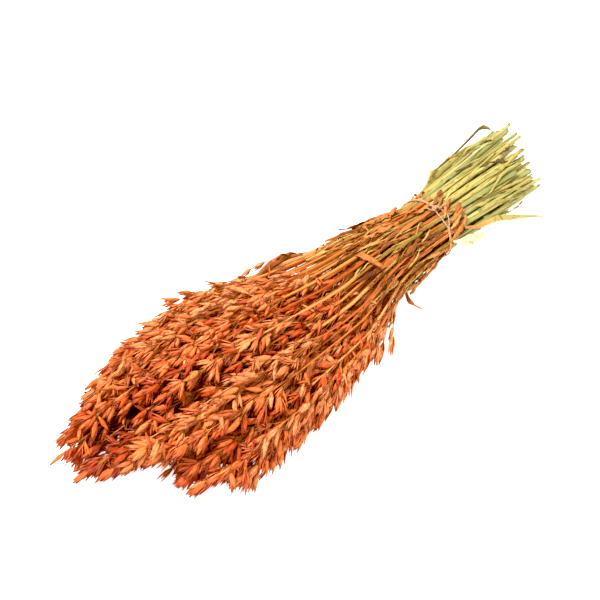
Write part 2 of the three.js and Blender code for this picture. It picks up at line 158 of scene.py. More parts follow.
def settled_straws():
    straws = []
    for pair in range(PAIRS):
        radius = math.sqrt((pair + 0.5) / PAIRS)
        angle = pair * GOLDEN_ANGLE
        for side in (-1, 1):
            y = TIE_HALF_WIDTH * radius * math.cos(angle) - side * math.sin(angle) * PAIR_SPACING / 2
            z = TIE_HALF_HEIGHT * radius * math.sin(angle) + side * math.cos(angle) * PAIR_SPACING / 2
            straws.append(SimpleNamespace(pair=pair, side=side, y=y, z=z))
    for _ in range(SETTLING_ROUNDS):
        for i, a in enumerate(straws):
            for b in straws[i + 1:]:
                dy, dz = b.y - a.y, b.z - a.z
                apart = math.hypot(dy, dz)
                wanted = PAIR_SPACING if a.pair == b.pair else STRAW_SPACING
                if a.pair != b.pair and apart >= wanted:
                    continue
                push = (wanted - apart) / apart / 4
                a.y -= dy * push
                a.z -= dz * push
                b.y += dy * push
                b.z += dz * push
        for straw in straws:
            out = math.hypot(straw.y / TIE_HALF_WIDTH, straw.z / TIE_HALF_HEIGHT)
            if out > 1:
                straw.y /= out
                straw.z /= out
    for k, straw in enumerate(straws):
        straw.k = k
        straw.u = straw.y / TIE_HALF_WIDTH
        straw.v = straw.z / TIE_HALF_HEIGHT
        straw.out = min(1, math.hypot(straw.u, straw.v))
    return straws


straws = settled_straws()
print("straws:", len(straws))

# %% [markdown]
# The bundle widens from the string to both ends, sinks on the surface and turns a little. Its cross-section
# is given at seven stations. Between them a straw of the frame is straight; here the corners are rounded,
# by taking the mean of a few places along it, because a real straw bends slowly. The waist is a little
# slimmer than the frame's, and the stems before it lie a little further to the far side.

# %% Follow a straw through the bundle
SECTIONS = [
    # x, half width, half height, middle's place aside, middle's height
    (400, 54, 33, 18, 30),
    (TIE_AT, 38, 28.3, 5.3, 38),
    (110, 45, 33, 4, 43),
    (10, 75, 42, -7, 46),
    (-100, 97, 49, -5, 47.5),
    (-210, 95, 45, -5, 43.5),
    (-320, 70, 30, 4, 34),
]
UNDERSIDE_FLATTENING = 0.9
PINCH, PINCH_LENGTH = 0.4, 36
BUNDLE_TURN = 0.0011
HEAD_SWAY, BUTT_SWAY, SWAY_LENGTH = 1.5, 0.5, 130
SWAY_WAVE_ACROSS, SWAY_WAVE_UP = 47, 53
BEND = 16


def stations_round(x):
    i = 1
    while i < len(SECTIONS) - 1 and x < SECTIONS[i][0]:
        i += 1
    return SECTIONS[i - 1], SECTIONS[i]


def section_at(x):
    a, b = stations_round(x)
    share = (a[0] - x) / (a[0] - b[0])
    return tuple(mix(a[i], b[i], share) for i in range(1, 5))


def outside(x, direction, off):
    """A place off the bundle's section at x, in a direction given in radians."""
    half_width, half_height, aside, middle = section_at(x)
    low = UNDERSIDE_FLATTENING if math.sin(direction) < 0 else 1
    return Vector((
        x,
        aside + (half_width + off) * math.cos(direction),
        middle + (half_height * low + off) * math.sin(direction),
    ))


def straw_at_station(straw, x):
    half_width, half_height, aside, middle = section_at(x)
    turn = BUNDLE_TURN * (x - TIE_AT)
    partner = straws[straw.k - straw.side]
    pinch = PINCH * math.exp(-(((x - TIE_AT) / PINCH_LENGTH) ** 2))
    u = mix(straw.u, (straw.u + partner.u) / 2, pinch)
    v = mix(straw.v, (straw.v + partner.v) / 2, pinch)
    across = u * math.cos(turn) - v * math.sin(turn)
    up = u * math.sin(turn) + v * math.cos(turn)
    most = BUTT_SWAY if x > TIE_AT else HEAD_SWAY
    sway = most * (1 - math.exp(-(((x - TIE_AT) / SWAY_LENGTH) ** 2)))
    low = UNDERSIDE_FLATTENING if up < 0 else 1
    return Vector((
        x,
        aside + half_width * across + sway * math.sin(x / SWAY_WAVE_ACROSS + straw.k * 2.4),
        middle + half_height * low * up + sway * math.cos(x / SWAY_WAVE_UP + straw.k * 1.7),
    ))


def straight_straw(straw, x):
    a, b = stations_round(x)
    return straw_at_station(straw, a[0]).lerp(straw_at_station(straw, b[0]), (a[0] - x) / (a[0] - b[0]))


def straw_line(straw, x):
    near = straight_straw(straw, x - BEND) + straight_straw(straw, x + BEND)
    return (near + 2 * straight_straw(straw, x)) / 4


print("straw 0 passes the string at", [round(n, 1) for n in straw_line(straws[0], TIE_AT)])

# %% [markdown]
# Every stalk has its own length: the cut ends are uneven, and so are the tips of the heads, which stand in
# lobes. A panicle, the loose head of an oat, takes up the last 20 to 26 centimetres. The front line says
# how far the lowest heads reach on the table, seen along the picture's slanting view: a tip that passes it
# is drawn back, by four centimetres at most, and one that falls short of it is let out, by three at most.
# Some upper stalks are cut shorter, which leaves a notch in the cut ends.

# %% Give each stalk its ends
BUTT_END, BUTT_SLANT, BUTT_UNEVENNESS = 398, 24, 38
HEAD_END, HEAD_SLANT, HEAD_ROUNDING, HEAD_UNEVENNESS = -306, 6, 62, 45
LOBES, LOBES_ACROSS, LOBES_UP = 22, 5.5, 4
SHORT_SHARE, SHORTER_BY, SHORTEST_BY = 0.25, 44, 110
TIP_SPIKELET = 25
PANICLE_LENGTHS = (200, 258)
LAST_PANICLE_START = 90
FAR_SIDE_LATER, LOW_SIDE = 42, -0.2
NOTCH_FROM, NOTCH_TO, NOTCH_ABOVE, NOTCH = -0.5, 0.2, 0.55, 14

FRONT_LINE = [
    # place aside, and how far the tips reach there
    (-124, -145), (-119, -172), (-114, -198), (-104, -207), (-89, -201), (-81, -207), (-73, -238),
    (-52, -236), (-43, -226), (-28, -226), (-20, -248), (-9, -273), (12, -300), (29, -296), (47, -306),
    (55, -290), (67, -290), (71, -268), (75, -250), (83, -241), (92, -234), (98, -215), (105, -195),
    (118, -165),
]
FRONT_HEIGHT, VIEW_SHIFT_X, VIEW_SHIFT_Y = 25, 0.35, 0.65
FRONT_ROOM, LEAST_SHIFT, MOST_SHIFT, LET_OUT = 22, -32, 42, 70
TIP_ROOM = 3


def front_at(y):
    for (y0, x0), (y1, x1) in zip(FRONT_LINE, FRONT_LINE[1:]):
        if y <= y1:
            return mix(x0, x1, max(0, (y - y0) / (y1 - y0)))
    return FRONT_LINE[-1][1]


def gap_to_front(place):
    higher = place.z - FRONT_HEIGHT
    return place.x + VIEW_SHIFT_X * higher - front_at(place.y + VIEW_SHIFT_Y * higher)


def front_shift(straw):
    gap = gap_to_front(straw_line(straw, straw.tip)) - FRONT_ROOM
    if gap > LET_OUT:
        return 0
    return max(LEAST_SHIFT, min(MOST_SHIFT, -gap))


for straw in straws:
    k, u, v = straw.k, straw.u, straw.v
    straw.butt = BUTT_END + BUTT_SLANT * u - BUTT_UNEVENNESS * draw(k, 1) ** 1.5
    if NOTCH_FROM < u < NOTCH_TO and v > NOTCH_ABOVE:
        straw.butt -= NOTCH
    lobe = LOBES * math.sin(LOBES_ACROSS * u + LOBES_UP * v)
    reach = HEAD_END - HEAD_SLANT * u + HEAD_ROUNDING * straw.out ** 2 + lobe + HEAD_UNEVENNESS * draw(k, 2)
    short = mix(SHORTER_BY, SHORTEST_BY, draw(k, 4)) if draw(k, 3) < SHORT_SHARE else 0
    straw.tip = reach + short + TIP_SPIKELET
    straw.tip += front_shift(straw)
    straw.panicle_start = min(LAST_PANICLE_START, straw.tip + mix(*PANICLE_LENGTHS, draw(k, 5)))
    straw.panicle_start -= FAR_SIDE_LATER * max(0, u) * (v > LOW_SIDE)
lengths = [straw.butt - straw.tip + TIP_SPIKELET for straw in straws]
print("stalks from", round(min(lengths)), "to", round(max(lengths)), "mm long")

# %% [markdown]
# ## Shapes that are made once and used many times
# A straw, a thin branch, a leaf and a spikelet are each made once as a plain straight shape. Copies are
# then joined into a piece and bent along their paths. Each shape carries a UV map that says two things the
# materials need: in which strip of colour tones a copy lies, and where on its length a point is. The map is
# cut into 32 strips side by side, and into three bands: spikelets lowest, then leaves, then straws.

# %% The map's strips and bands
UV = "OFBake"
STRIPS = 32
STRIP_EDGE = 0.1
HUSK_BAND = (0.01, 0.29)
LEAF_BAND = (0.33, 0.61)
STRAW_BAND = (0.65, 0.99)
HUSK_SLOT, LEAF_SLOT, STRAW_SLOT = 0, 1, 2
FIRST_X, LAST_X = -345.0, 435.0


def on_strip(lateral):
    return mix(STRIP_EDGE, 1 - STRIP_EDGE, lateral) / STRIPS


def keep_shape(bm, name, slot, spot):
    """Stores a shape as a mesh, its map read from spot(place), which gives lateral and lengthwise shares."""
    layer = bm.loops.layers.uv.new(UV)
    band = {HUSK_SLOT: HUSK_BAND, LEAF_SLOT: LEAF_BAND, STRAW_SLOT: STRAW_BAND}[slot]
    for face in bm.faces:
        face.smooth = True
        face.material_index = slot
        for loop in face.loops:
            lateral, along = spot(loop.vert)
            loop[layer].uv = (on_strip(lateral), mix(*band, along))
    mesh = bpy.data.meshes.new(name)
    bm.to_mesh(mesh)
    bm.free()
    print(name, "has", len(mesh.polygons), "faces")
    return mesh


def folded_angle(vert):
    """0 on the +Y side of a shape and 1 on its -Y side, so that the map has no seam."""
    return abs(math.atan2(vert.co.x, vert.co.y)) / math.pi


# %% [markdown]
# ### A straw
# An oat straw is a hollow pipe. It is a cone of equal radii with its long edges cut into rings, and at the
# cut end the rim is extruded inwards twice, once for the wall and once for the hollow, which is closed a few
# millimetres in, where nobody looks. Its length is 1, and the rings are spread along a real straw when it is
# laid out.

# %% Make the straw and the thin branch
STRAW_SIDES, STRAW_RINGS = 8, 26
BRANCH_SIDES, BRANCH_RINGS = 3, 3
WALL = 0.7


def add_prism(bm, sides, **caps):
    """Adds a prism of radius and height 1 and returns its points."""
    first = len(bm.verts)
    bmesh.ops.create_cone(bm, segments=sides, radius1=1, radius2=1, depth=1, **caps)
    bm.verts.ensure_lookup_table()
    return bm.verts[first:]


def pipe(sides, rings):
    bm = bmesh.new()
    add_prism(bm, sides, cap_ends=False)
    bmesh.ops.translate(bm, vec=(0, 0, 0.5), verts=bm.verts)
    long_edges = [e for e in bm.edges if abs(e.verts[0].co.z - e.verts[1].co.z) > 0.5]
    bmesh.ops.subdivide_edges(bm, edges=long_edges, cuts=rings - 2, use_grid_fill=True)
    return bm


def rim_edges(bm, z):
    return [e for e in bm.edges if e.is_boundary and all(abs(v.co.z - z) < 1e-4 for v in e.verts)]


def close_to_point(bm, z):
    grown = bmesh.ops.extrude_edge_only(bm, edges=rim_edges(bm, z))["geom"]
    verts = [item for item in grown if isinstance(item, bmesh.types.BMVert)]
    bmesh.ops.pointmerge(bm, verts=verts, merge_co=(0, 0, z))


def hollow_end(bm):
    rim = bmesh.ops.extrude_edge_only(bm, edges=rim_edges(bm, 0))["geom"]
    rim_verts = [item for item in rim if isinstance(item, bmesh.types.BMVert)]
    bmesh.ops.scale(bm, vec=(WALL, WALL, 1), verts=rim_verts)
    inner_edges = [e for e in rim if isinstance(e, bmesh.types.BMEdge) and e.is_boundary]
    hollow = bmesh.ops.extrude_edge_only(bm, edges=inner_edges)["geom"]
    hollow_verts = [item for item in hollow if isinstance(item, bmesh.types.BMVert)]
    bmesh.ops.translate(bm, vec=(0, 0, 1 / (STRAW_RINGS - 1)), verts=hollow_verts)
    floor_edges = [e for e in hollow if isinstance(e, bmesh.types.BMEdge) and e.is_boundary]
    bmesh.ops.holes_fill(bm, edges=floor_edges, sides=STRAW_SIDES)


straw_bm = pipe(STRAW_SIDES, STRAW_RINGS)
hollow_end(straw_bm)
close_to_point(straw_bm, 1)
bmesh.ops.recalc_face_normals(straw_bm, faces=straw_bm.faces)
straw_shape = keep_shape(straw_bm, "straw_shape", STRAW_SLOT, lambda v: (folded_angle(v), v.co.z))

branch_bm = pipe(BRANCH_SIDES, BRANCH_RINGS)
bmesh.ops.recalc_face_normals(branch_bm, faces=branch_bm.faces)
branch_shape = keep_shape(
    branch_bm, "branch_shape", STRAW_SLOT,
    lambda v: ((math.atan2(v.co.x, v.co.y) / math.tau) % 1, v.co.z),
)

# %% [markdown]
# ### A leaf and a strip
# A dried leaf is a thin ribbon. It starts as a flat grid, which solidify gives a lower side and a rim. Its
# width, folds and curl come later, when its points are laid along the leaf's path. Torn strips of leaf are
# made the same way with fewer faces, because there are many of them.

# %% Make the leaf ribbon and the torn strip


def ribbon_shape(name, columns, rows):
    bm = bmesh.new()
    bmesh.ops.create_grid(bm, x_segments=columns, y_segments=rows, size=1)
    bmesh.ops.scale(bm, vec=(1, 0.5, 1), verts=bm.verts)
    bmesh.ops.translate(bm, vec=(0, 0.5, 0), verts=bm.verts)
    bmesh.ops.solidify(bm, geom=bm.faces[:], thickness=1)
    bmesh.ops.recalc_face_normals(bm, faces=bm.faces)
    low = min(v.co.z for v in bm.verts)
    bmesh.ops.translate(bm, vec=(0, 0, -low - 0.5), verts=bm.verts)
    shape = keep_shape(bm, name, LEAF_SLOT, lambda v: (v.co.x / 2 + 0.5, v.co.y))
    return SimpleNamespace(mesh=shape, rows=rows)


leaf_shape = ribbon_shape("leaf_shape", 4, 14)
strip_shape = ribbon_shape("strip_shape", 2, 9)

# %% [markdown]
# ### A spikelet
# An oat spikelet has two papery husks like the halves of a long boat, which gape a little at the tip, and a
# grain between them. A husk is a six-sided prism with a point at each end: one long edge is its keel, the
# side opposite is pushed in, and the rings narrow towards the points. There are six kinds, from shut to
# gaping, each of a few dozen faces, because thousands of them will be used.

# %% Make the spikelets
HUSK_RINGS = {-0.5: 0.14, 0.0: 0.40, 0.5: 0.72}
HUSK_WIDTHS = {0.14: 0.62, 0.40: 1.0, 0.72: 0.55}
KEEL_AT, SHOULDER_AT, RIM_AT, INSIDE_AT = 0, 60, 120, 180
HUSK_SECTION = {KEEL_AT: (0, 1.0), SHOULDER_AT: (0.74, 0.74), RIM_AT: (1.0, 0.0), INSIDE_AT: (0, 0.42)}
SPIKELET_LENGTH = 21
HUSK_LAYER = "husk"


def add_husk(bm, length, half_width, depth, gape, turned, bow):
    """One husk with its root at the origin and its tip up the Z axis, keel towards +Y, or -Y if turned."""
    first = len(bm.verts)
    new = set(add_prism(bm, 6, cap_ends=True, cap_tris=True))
    geom = [item for item in [*bm.verts, *bm.edges, *bm.faces]
            if (item in new if isinstance(item, bmesh.types.BMVert) else all(v in new for v in item.verts))]
    bmesh.ops.bisect_plane(bm, geom=geom, plane_co=(0, 0, 0), plane_no=(0, 0, 1))
    bm.verts.ensure_lookup_table()
    verts = bm.verts[first:]
    layer = bm.verts.layers.float_vector[HUSK_LAYER]
    for vert in verts:
        x, y, z = vert.co
        if math.hypot(x, y) < 0.1:
            share, lateral, sideways, outward = (0.0 if z < 0 else 1.0), 0.5, 0.0, 0.0
        else:
            share = HUSK_RINGS[round(z * 2) / 2]
            angle = round(math.degrees(math.atan2(x, y)))
            wide, deep = HUSK_SECTION[round(abs(angle) / 60) * 60]
            width = HUSK_WIDTHS[share]
            sideways = math.copysign(wide, angle) * width * half_width
            outward = deep * width * depth
            lateral = abs(angle) / 180
        curve = bow * math.sin(math.pi * share) + gape * share ** 1.6
        vert.co = (sideways, outward + curve, share * length)
        vert[layer] = (lateral, share, 0)
    for edge in {e for v in verts for e in v.link_edges}:
        laterals = [v[layer][0] for v in edge.verts]
        edge.smooth = not all(abs(n - RIM_AT / 180) < 0.05 for n in laterals)
    if turned:
        bmesh.ops.rotate(bm, cent=(0, 0, 0), matrix=Matrix.Rotation(math.pi, 3, "Z"), verts=verts)
    return verts


def add_grain(bm, length, radius):
    verts = add_prism(bm, 4, cap_ends=True, cap_tris=True)
    layer = bm.verts.layers.float_vector[HUSK_LAYER]
    for vert in verts:
        x, y, z = vert.co
        on_axis = math.hypot(x, y) < 0.1
        share = (0.05 if z < 0 else 1.0) if on_axis else (0.3 if z < 0 else 0.66)
        vert.co = (x * radius * 0.8, y * radius, share * length)
        vert[layer] = (0.3 if on_axis else 0.3 + 0.4 * (x > 0), min(1, share * 0.9), 0)


def spikelet(name, gape, width, bow, turn, short):
    bm = bmesh.new()
    bm.verts.layers.float_vector.new(HUSK_LAYER)
    add_husk(bm, SPIKELET_LENGTH, width, 1.8, gape, False, bow)
    second = add_husk(bm, SPIKELET_LENGTH * short, width * 0.94, 1.7, gape * 0.9, True, bow)
    bmesh.ops.rotate(bm, cent=(0, 0, 0), matrix=Matrix.Rotation(turn, 3, "Z"), verts=second)
    add_grain(bm, SPIKELET_LENGTH * 0.82, 1.2)
    bmesh.ops.recalc_face_normals(bm, faces=bm.faces)
    layer = bm.verts.layers.float_vector[HUSK_LAYER]
    return keep_shape(bm, name, HUSK_SLOT, lambda v: (v[layer][0], v[layer][1]))


SPIKELETS = [
    spikelet("spikelet_shut", 0.8, 2.2, 0.4, 0.2, 0.94),
    spikelet("spikelet_slender", 1.8, 1.9, 0.3, -0.3, 0.9),
    spikelet("spikelet_plump", 2.2, 2.8, 0.8, 0.1, 0.96),
    spikelet("spikelet_open", 3.8, 2.5, 0.6, -0.2, 0.92),
    spikelet("spikelet_gaping", 5.4, 2.4, 0.6, 0.3, 0.9),
    spikelet("spikelet_twisted", 3.2, 2.4, 0.5, 0.9, 0.84),
]

# %% [markdown]
# ## Joining copies into a piece
# A copy is read into the piece's bmesh, shifted to its colour strip on the map, and then either moved by a
# matrix or laid along a path. The points of the pipe say which ring they belong to, so that each ring can
# be set at its own station. Everything that would sink into the table is pressed flat just above it.

# %% Copy, lay out and press
PRESS_HEIGHT = 7.0


def strip_of(tone):
    """How far along the map the strip of a tone begins."""
    return min(STRIPS - 1, max(0, int(tone * STRIPS))) / STRIPS


def add_copy(bm, shape, tone):
    first_vert, first_face = len(bm.verts), len(bm.faces)
    bm.from_mesh(shape)
    bm.verts.ensure_lookup_table()
    bm.faces.ensure_lookup_table()
    layer = bm.loops.layers.uv[UV]
    strip = strip_of(tone)
    faces = bm.faces[first_face:]
    for face in faces:
        for loop in face.loops:
            loop[layer].uv.x += strip
    return bm.verts[first_vert:], faces


def upright(direction, outward):
    """A rotation that turns +Z to direction, and +Y as near to outward as it can."""
    z = direction.normalized()
    x = outward.cross(z).normalized()
    return Matrix((x, z.cross(x), z)).transposed().to_4x4()


def map_by_place(bm, faces, lengthwise):
    """Sets the map's lengthwise share of straw faces from their place in the bundle."""
    layer = bm.loops.layers.uv[UV]
    for face in faces:
        for loop in face.loops:
            share = (lengthwise(loop.vert) - FIRST_X) / (LAST_X - FIRST_X)
            loop[layer].uv.y = mix(*STRAW_BAND, min(1, max(0, share)))


def press(z):
    if z >= PRESS_HEIGHT:
        return z
    return PRESS_HEIGHT * math.exp((z - PRESS_HEIGHT) / PRESS_HEIGHT)


# %% [markdown]
# ### Straws
# A straw is thickest at the cut and thins out to the tip of the panicle. It is a little flattened, it has
# one or two nodes, where the leaves once joined, and its cut is slanted.

# %% Lay out a straw
CUT_SLANT = 2.6
STRAY = 6.0
HOLLOW = 7
NODE_SWELL, NODE_HALF = 1.28, 3.0
BUTT_NODE, STEM_NODE = (235, 330), (120, 170)
FLATNESS, LEAST_SLANT, BARE_TONES = (0.6, 0.9), 0.2, (0.5, 0.86)
RADII = [(430, 2.6), (200, 2.3), (110, 1.9), (40, 1.6), (-20, 1.2), (-90, 0.8), (-190, 0.5), (-340, 0.32)]


def add_straw(bm, straw, rng):
    nodes = [rng.uniform(*BUTT_NODE), rng.uniform(*STEM_NODE)]
    stations = [straw.butt, straw.butt - HOLLOW]
    for node in nodes:
        stations += [node - NODE_HALF, node, node + NODE_HALF]
    spare = STRAW_RINGS - len(stations)
    stations += [mix(straw.butt - HOLLOW, straw.tip, (i + 1) / spare) for i in range(spare)]
    stations.sort(reverse=True)
    roll, flat = rng.uniform(0, math.pi), rng.uniform(*FLATNESS)
    stray, strays_to = rng.uniform(0, STRAY), rng.uniform(0, math.tau)
    slant, facing = rng.uniform(LEAST_SLANT, CUT_SLANT), rng.uniform(0, math.tau)
    tone = mix(*BARE_TONES, rng.random()) if straw.bare else rng.random()
    verts, faces = add_copy(bm, straw_shape, tone)
    for vert in verts:
        ring = round(vert.co.z * (STRAW_RINGS - 1))
        x = stations[ring]
        swell = NODE_SWELL if x in nodes else 1
        thick = straw.thick if x < TIE_AT else 1
        radius = along_stations(RADII, x) * swell * thick
        a, b = vert.co.x * radius / flat ** 0.5, vert.co.y * radius * flat ** 0.5
        y = a * math.cos(roll) - b * math.sin(roll)
        z = a * math.sin(roll) + b * math.cos(roll)
        place = straw_line(straw, x)
        off = stray * max(0, (x - TIE_AT) / (LAST_X - TIE_AT)) ** 1.5
        place += Vector((0, math.cos(strays_to), math.sin(strays_to))) * off
        if ring == 0:
            place.x += slant * (math.cos(facing) * y + math.sin(facing) * z) / radius
        vert.co = place + Vector((0, y, z))
    map_by_place(bm, faces, lambda vert: vert.co.x)


# %% [markdown]
# ### Panicles
# The branches of an oat panicle stand in whorls. In a bunch they are pressed forwards, so each spikelet
# hangs on a thin branch that leaves the stem at a small angle, and points forwards and a little out. Long
# branches sit low on the panicle and short ones near its tip. Some outer panicles are full plumes and
# others thin, and some upper stems are bare at first, so that straws show between the heads. What would
# stand out of the bunch or rise above its top is held back softly, a little differently for each whorl,
# which leaves a ragged edge. Husks deep in the bunch are given a darker tone than those outside, so that
# part of the depth between the heads is painted in.

# %% Grow a panicle
WHORLS = [
    # share of the panicle's length, number of branches, longest branch
    (0.00, 7, 44),
    (0.12, 9, 46),
    (0.24, 11, 42),
    (0.36, 11, 37),
    (0.48, 11, 32),
    (0.59, 10, 27),
    (0.70, 9, 22),
    (0.80, 8, 17),
    (0.90, 7, 13),
    (0.98, 5, 8),
]
CLUSTERS, CLUSTER_SPREAD = 3, 0.42
LEAN_FROM, LEAN_TO = math.radians(8), math.radians(36)
BRANCH_THICK, BRANCH_THIN = 0.42, 0.24
LEAST_DROOP, MOST_DROOP = 0.0, 0.5
SIDE_DROOP, FRONT_DROOP = 0.65, 0.2
YELLOWER_BACK = 0.0006
DEPTH_TONE, TYPICAL_DEPTH = 0.45, 0.85
SPIKELET_MIX = [0, 1, 2, 2, 3, 3, 3, 4, 4, 5]

INNER, PLUME_FROM, PLUME_SHARE = 0.5, 0.66, 0.46
INNER_FULLNESS, LOW_FULLNESS, PLUME_FULLNESS = 0.42, 0.62, 1.5
LOW_REACH = 0.66
HOLD_FROM, LOW_MARGIN, PLUME_MARGIN = 0.8, 0.0, 15.0
CEILING_FROM, CEILING = 101.0, 110.5
RAGGED = 11.0
NEAR_SWELL = [
    (95, -4), (78, -7), (55, -11), (34, 8), (18, 7), (2, -5), (-14, -6), (-36, 5), (-62, 4), (-90, 2),
    (-115, 1), (-148, 20), (-178, 26), (-215, 8), (-270, 0),
]
FAR_SWELL = [(60, 3), (0, 5), (-70, 6), (-100, 1), (-140, 8), (-170, 6), (-220, -5), (-300, -10)]
BARE_SHARE, BARE_UNTIL, BARE_RADIUS, BARE_MARGIN = 0.5, 0.3, 0.95, 7.0
BARE_ABOVE, HUSK_TONES, MOST_TONE, TONE_SCATTER = 0.1, (0.22, 0.72), 0.88, 0.15
WHORL_SCATTER, BRANCH_SHARES, SPIKELET_SIZES = 4, (0.35, 1), (0.82, 1.08)
OPENS_BY, OPENS_SCATTER, ASIDE_SCATTER, ROLL = 0.1, 0.32, 0.85, 1.2

for straw in straws:
    straw.plume = straw.out > PLUME_FROM and draw(straw.k, 7) < PLUME_SHARE
    straw.bare = straw.v > BARE_ABOVE and draw(straw.k, 8) < BARE_SHARE
    straw.fullness = INNER_FULLNESS if straw.out < INNER else PLUME_FULLNESS if straw.plume else LOW_FULLNESS
    straw.reach = 1 if straw.plume else LOW_REACH
    straw.margin = PLUME_MARGIN if straw.plume else LOW_MARGIN
    straw.husk_tone = mix(*HUSK_TONES, draw(straw.k, 9))
    straw.thick = BARE_RADIUS if straw.bare else 1
    if straw.bare:
        straw.fullness, straw.margin = max(1, straw.fullness), max(BARE_MARGIN, straw.margin)
print("panicles that stand out as plumes:", sum(straw.plume for straw in straws))


def outness(point):
    half_width, half_height, aside, middle = section_at(point.x)
    return math.hypot((point.y - aside) / half_width, (point.z - middle) / half_height)


def under_ceiling(z):
    if z <= CEILING_FROM:
        return z
    room = CEILING - CEILING_FROM
    return CEILING - room * math.exp((CEILING_FROM - z) / room)


def held_in(point, margin):
    half_width, half_height, aside, middle = section_at(point.x)
    low = UNDERSIDE_FLATTENING if point.z < middle else 1
    margin += along_stations(FAR_SWELL if point.y > aside else NEAR_SWELL, point.x)
    across = (point.y - aside) / (half_width + margin)
    up = (point.z - middle) / (half_height * low + margin)
    out = math.hypot(across, up)
    shrink = 1
    if out > HOLD_FROM:
        room = 1 - HOLD_FROM
        shrink = (1 - room * math.exp(-(out - HOLD_FROM) / room)) / out
    return Vector((
        point.x,
        aside + across * shrink * (half_width + margin),
        under_ceiling(middle + up * shrink * (half_height * low + margin)),
    ))


def add_branch(bm, root, bend, end, tone):
    verts, faces = add_copy(bm, branch_shape, tone)
    for vert in verts:
        share = vert.co.z
        radius = mix(BRANCH_THICK, BRANCH_THIN, share)
        place = root.lerp(bend, share).lerp(bend.lerp(end, share), share)
        vert.co = place + Vector((0, vert.co.x * radius, vert.co.y * radius))
    map_by_place(bm, faces, lambda vert: vert.co.x)


def add_spikelet(bm, root, direction, outward, size, kind, tone):
    verts, _ = add_copy(bm, SPIKELETS[kind], tone)
    matrix = Matrix.Translation(root) @ upright(direction, outward) @ Matrix.Scale(size, 4)
    bmesh.ops.transform(bm, matrix=matrix, verts=verts)


def droop_at(place, share, rng):
    """How strongly a spikelet hangs: most at the sides and the front, where nothing lies under it."""
    half_width, _, aside, _ = section_at(place.x)
    side = min(1, abs(place.y - aside) / half_width)
    heavy = SIDE_DROOP * side ** 3 + FRONT_DROOP * share ** 3
    return rng.uniform(LEAST_DROOP, MOST_DROOP) + heavy * rng.uniform(0.1, 1.5)


def add_panicle(bm, straw, rng):
    count = 0
    for whorl, (share, branches, longest) in enumerate(WHORLS):
        margin = straw.margin + RAGGED * (draw(whorl * PAIRS * 2 + straw.k, 11) - 0.5)
        x = mix(straw.panicle_start, straw.tip, share) + rng.uniform(-WHORL_SCATTER, WHORL_SCATTER)
        stem = straw_line(straw, x)
        forward = (straw_line(straw, x - 20) - stem).normalized()
        if straw.bare and share < BARE_UNTIL:
            continue
        start = rng.uniform(0, math.tau)
        for i in range(round(branches * straw.fullness)):
            angle = start + (i % CLUSTERS) * math.tau / CLUSTERS + rng.gauss(0, CLUSTER_SPREAD)
            away = Vector((0, math.cos(angle), math.sin(angle)))
            length = longest * straw.reach * rng.uniform(*BRANCH_SHARES)
            lean = rng.uniform(LEAN_FROM, LEAN_TO)
            end = stem + forward * length * math.cos(lean) + away * length * math.sin(lean)
            droop = droop_at(end, share, rng)
            end.z -= 0.2 * droop * length
            end = held_in(end, margin)
            end.x = max(end.x, straw.tip - 2)
            point = lean + rng.gauss(OPENS_BY, OPENS_SCATTER)
            aside = Matrix.Rotation(rng.gauss(0, ASIDE_SCATTER), 3, "X") @ away
            size = rng.uniform(*SPIKELET_SIZES)
            aim = forward * math.cos(point) + aside * math.sin(point) + Vector((0, 0, -droop))
            long = SPIKELET_LENGTH * size
            direction = (held_in(end + aim.normalized() * long, margin + 3) - end).normalized()
            end.x += min(MOST_SHIFT, max(0, TIP_ROOM - gap_to_front(end + direction * long)))
            bend = stem.lerp(end, 0.5) + forward * length * 0.12
            add_branch(bm, stem, bend, end + direction, rng.random())
            face_up = Matrix.Rotation(rng.uniform(-ROLL, ROLL), 3, direction) @ away
            lighter = YELLOWER_BACK * (end.x + 170) + DEPTH_TONE * (outness(end) - TYPICAL_DEPTH)
            tone = min(MOST_TONE, max(0, rng.gauss(straw.husk_tone + lighter, TONE_SCATTER)))
            add_spikelet(bm, end, direction, face_up, size, rng.choice(SPIKELET_MIX), tone)
            count += 1
    end = straw_line(straw, straw.tip)
    side = Vector((0, rng.uniform(-1, 1), 1))
    add_spikelet(bm, end, Vector((-1, 0, -0.2)), side, 1, rng.choice(SPIKELET_MIX), straw.husk_tone)
    return count + 1


# %% [markdown]
# ### Leaves
# Dried leaves are ribbons that fold, twist and crumple. A ribbon follows any path, with its own width, curl
# round its length, twist and waves. Its face looks along a given direction.

# %% Lay out a ribbon
LEAF_THICKNESS = 0.3


def add_ribbon(bm, shape, path, facing, half_width, tones, curl=0.4, twist=0.0, waves=0.0, seed=0):
    """path, facing and half_width give a place, a direction and a width at a share; tones are from and to."""
    verts, faces = add_copy(bm, shape.mesh, 0)
    layer = bm.loops.layers.uv[UV]
    for face in faces:
        for loop in face.loops:
            loop[layer].uv.x += strip_of(mix(*tones, loop.vert.co.y))
    frames = {}
    for vert in verts:
        share = round(vert.co.y * shape.rows) / shape.rows
        if share not in frames:
            place = path(share)
            onward = path(min(1, share + 0.03)) - path(max(0, share - 0.03))
            turn = upright(onward, facing(share)).to_3x3() @ Matrix.Rotation(twist * share, 3, "Z")
            frames[share] = place, turn, half_width(share)
        place, turn, half = frames[share]
        across = vert.co.x
        bend = curl * (1 + 0.5 * math.sin(share * 9 + seed))
        sideways = half * math.sin(bend * across) / bend
        outward = half * (math.cos(bend * across) - 1) / bend
        outward += waves * math.sin(share * 17 + across * 2.1 + seed) * abs(across)
        outward += waves * 0.6 * math.sin(share * 29 + seed * 1.7)
        vert.co = place + turn @ Vector((sideways, outward + vert.co.z * LEAF_THICKNESS, 0))


print("helpers ready")

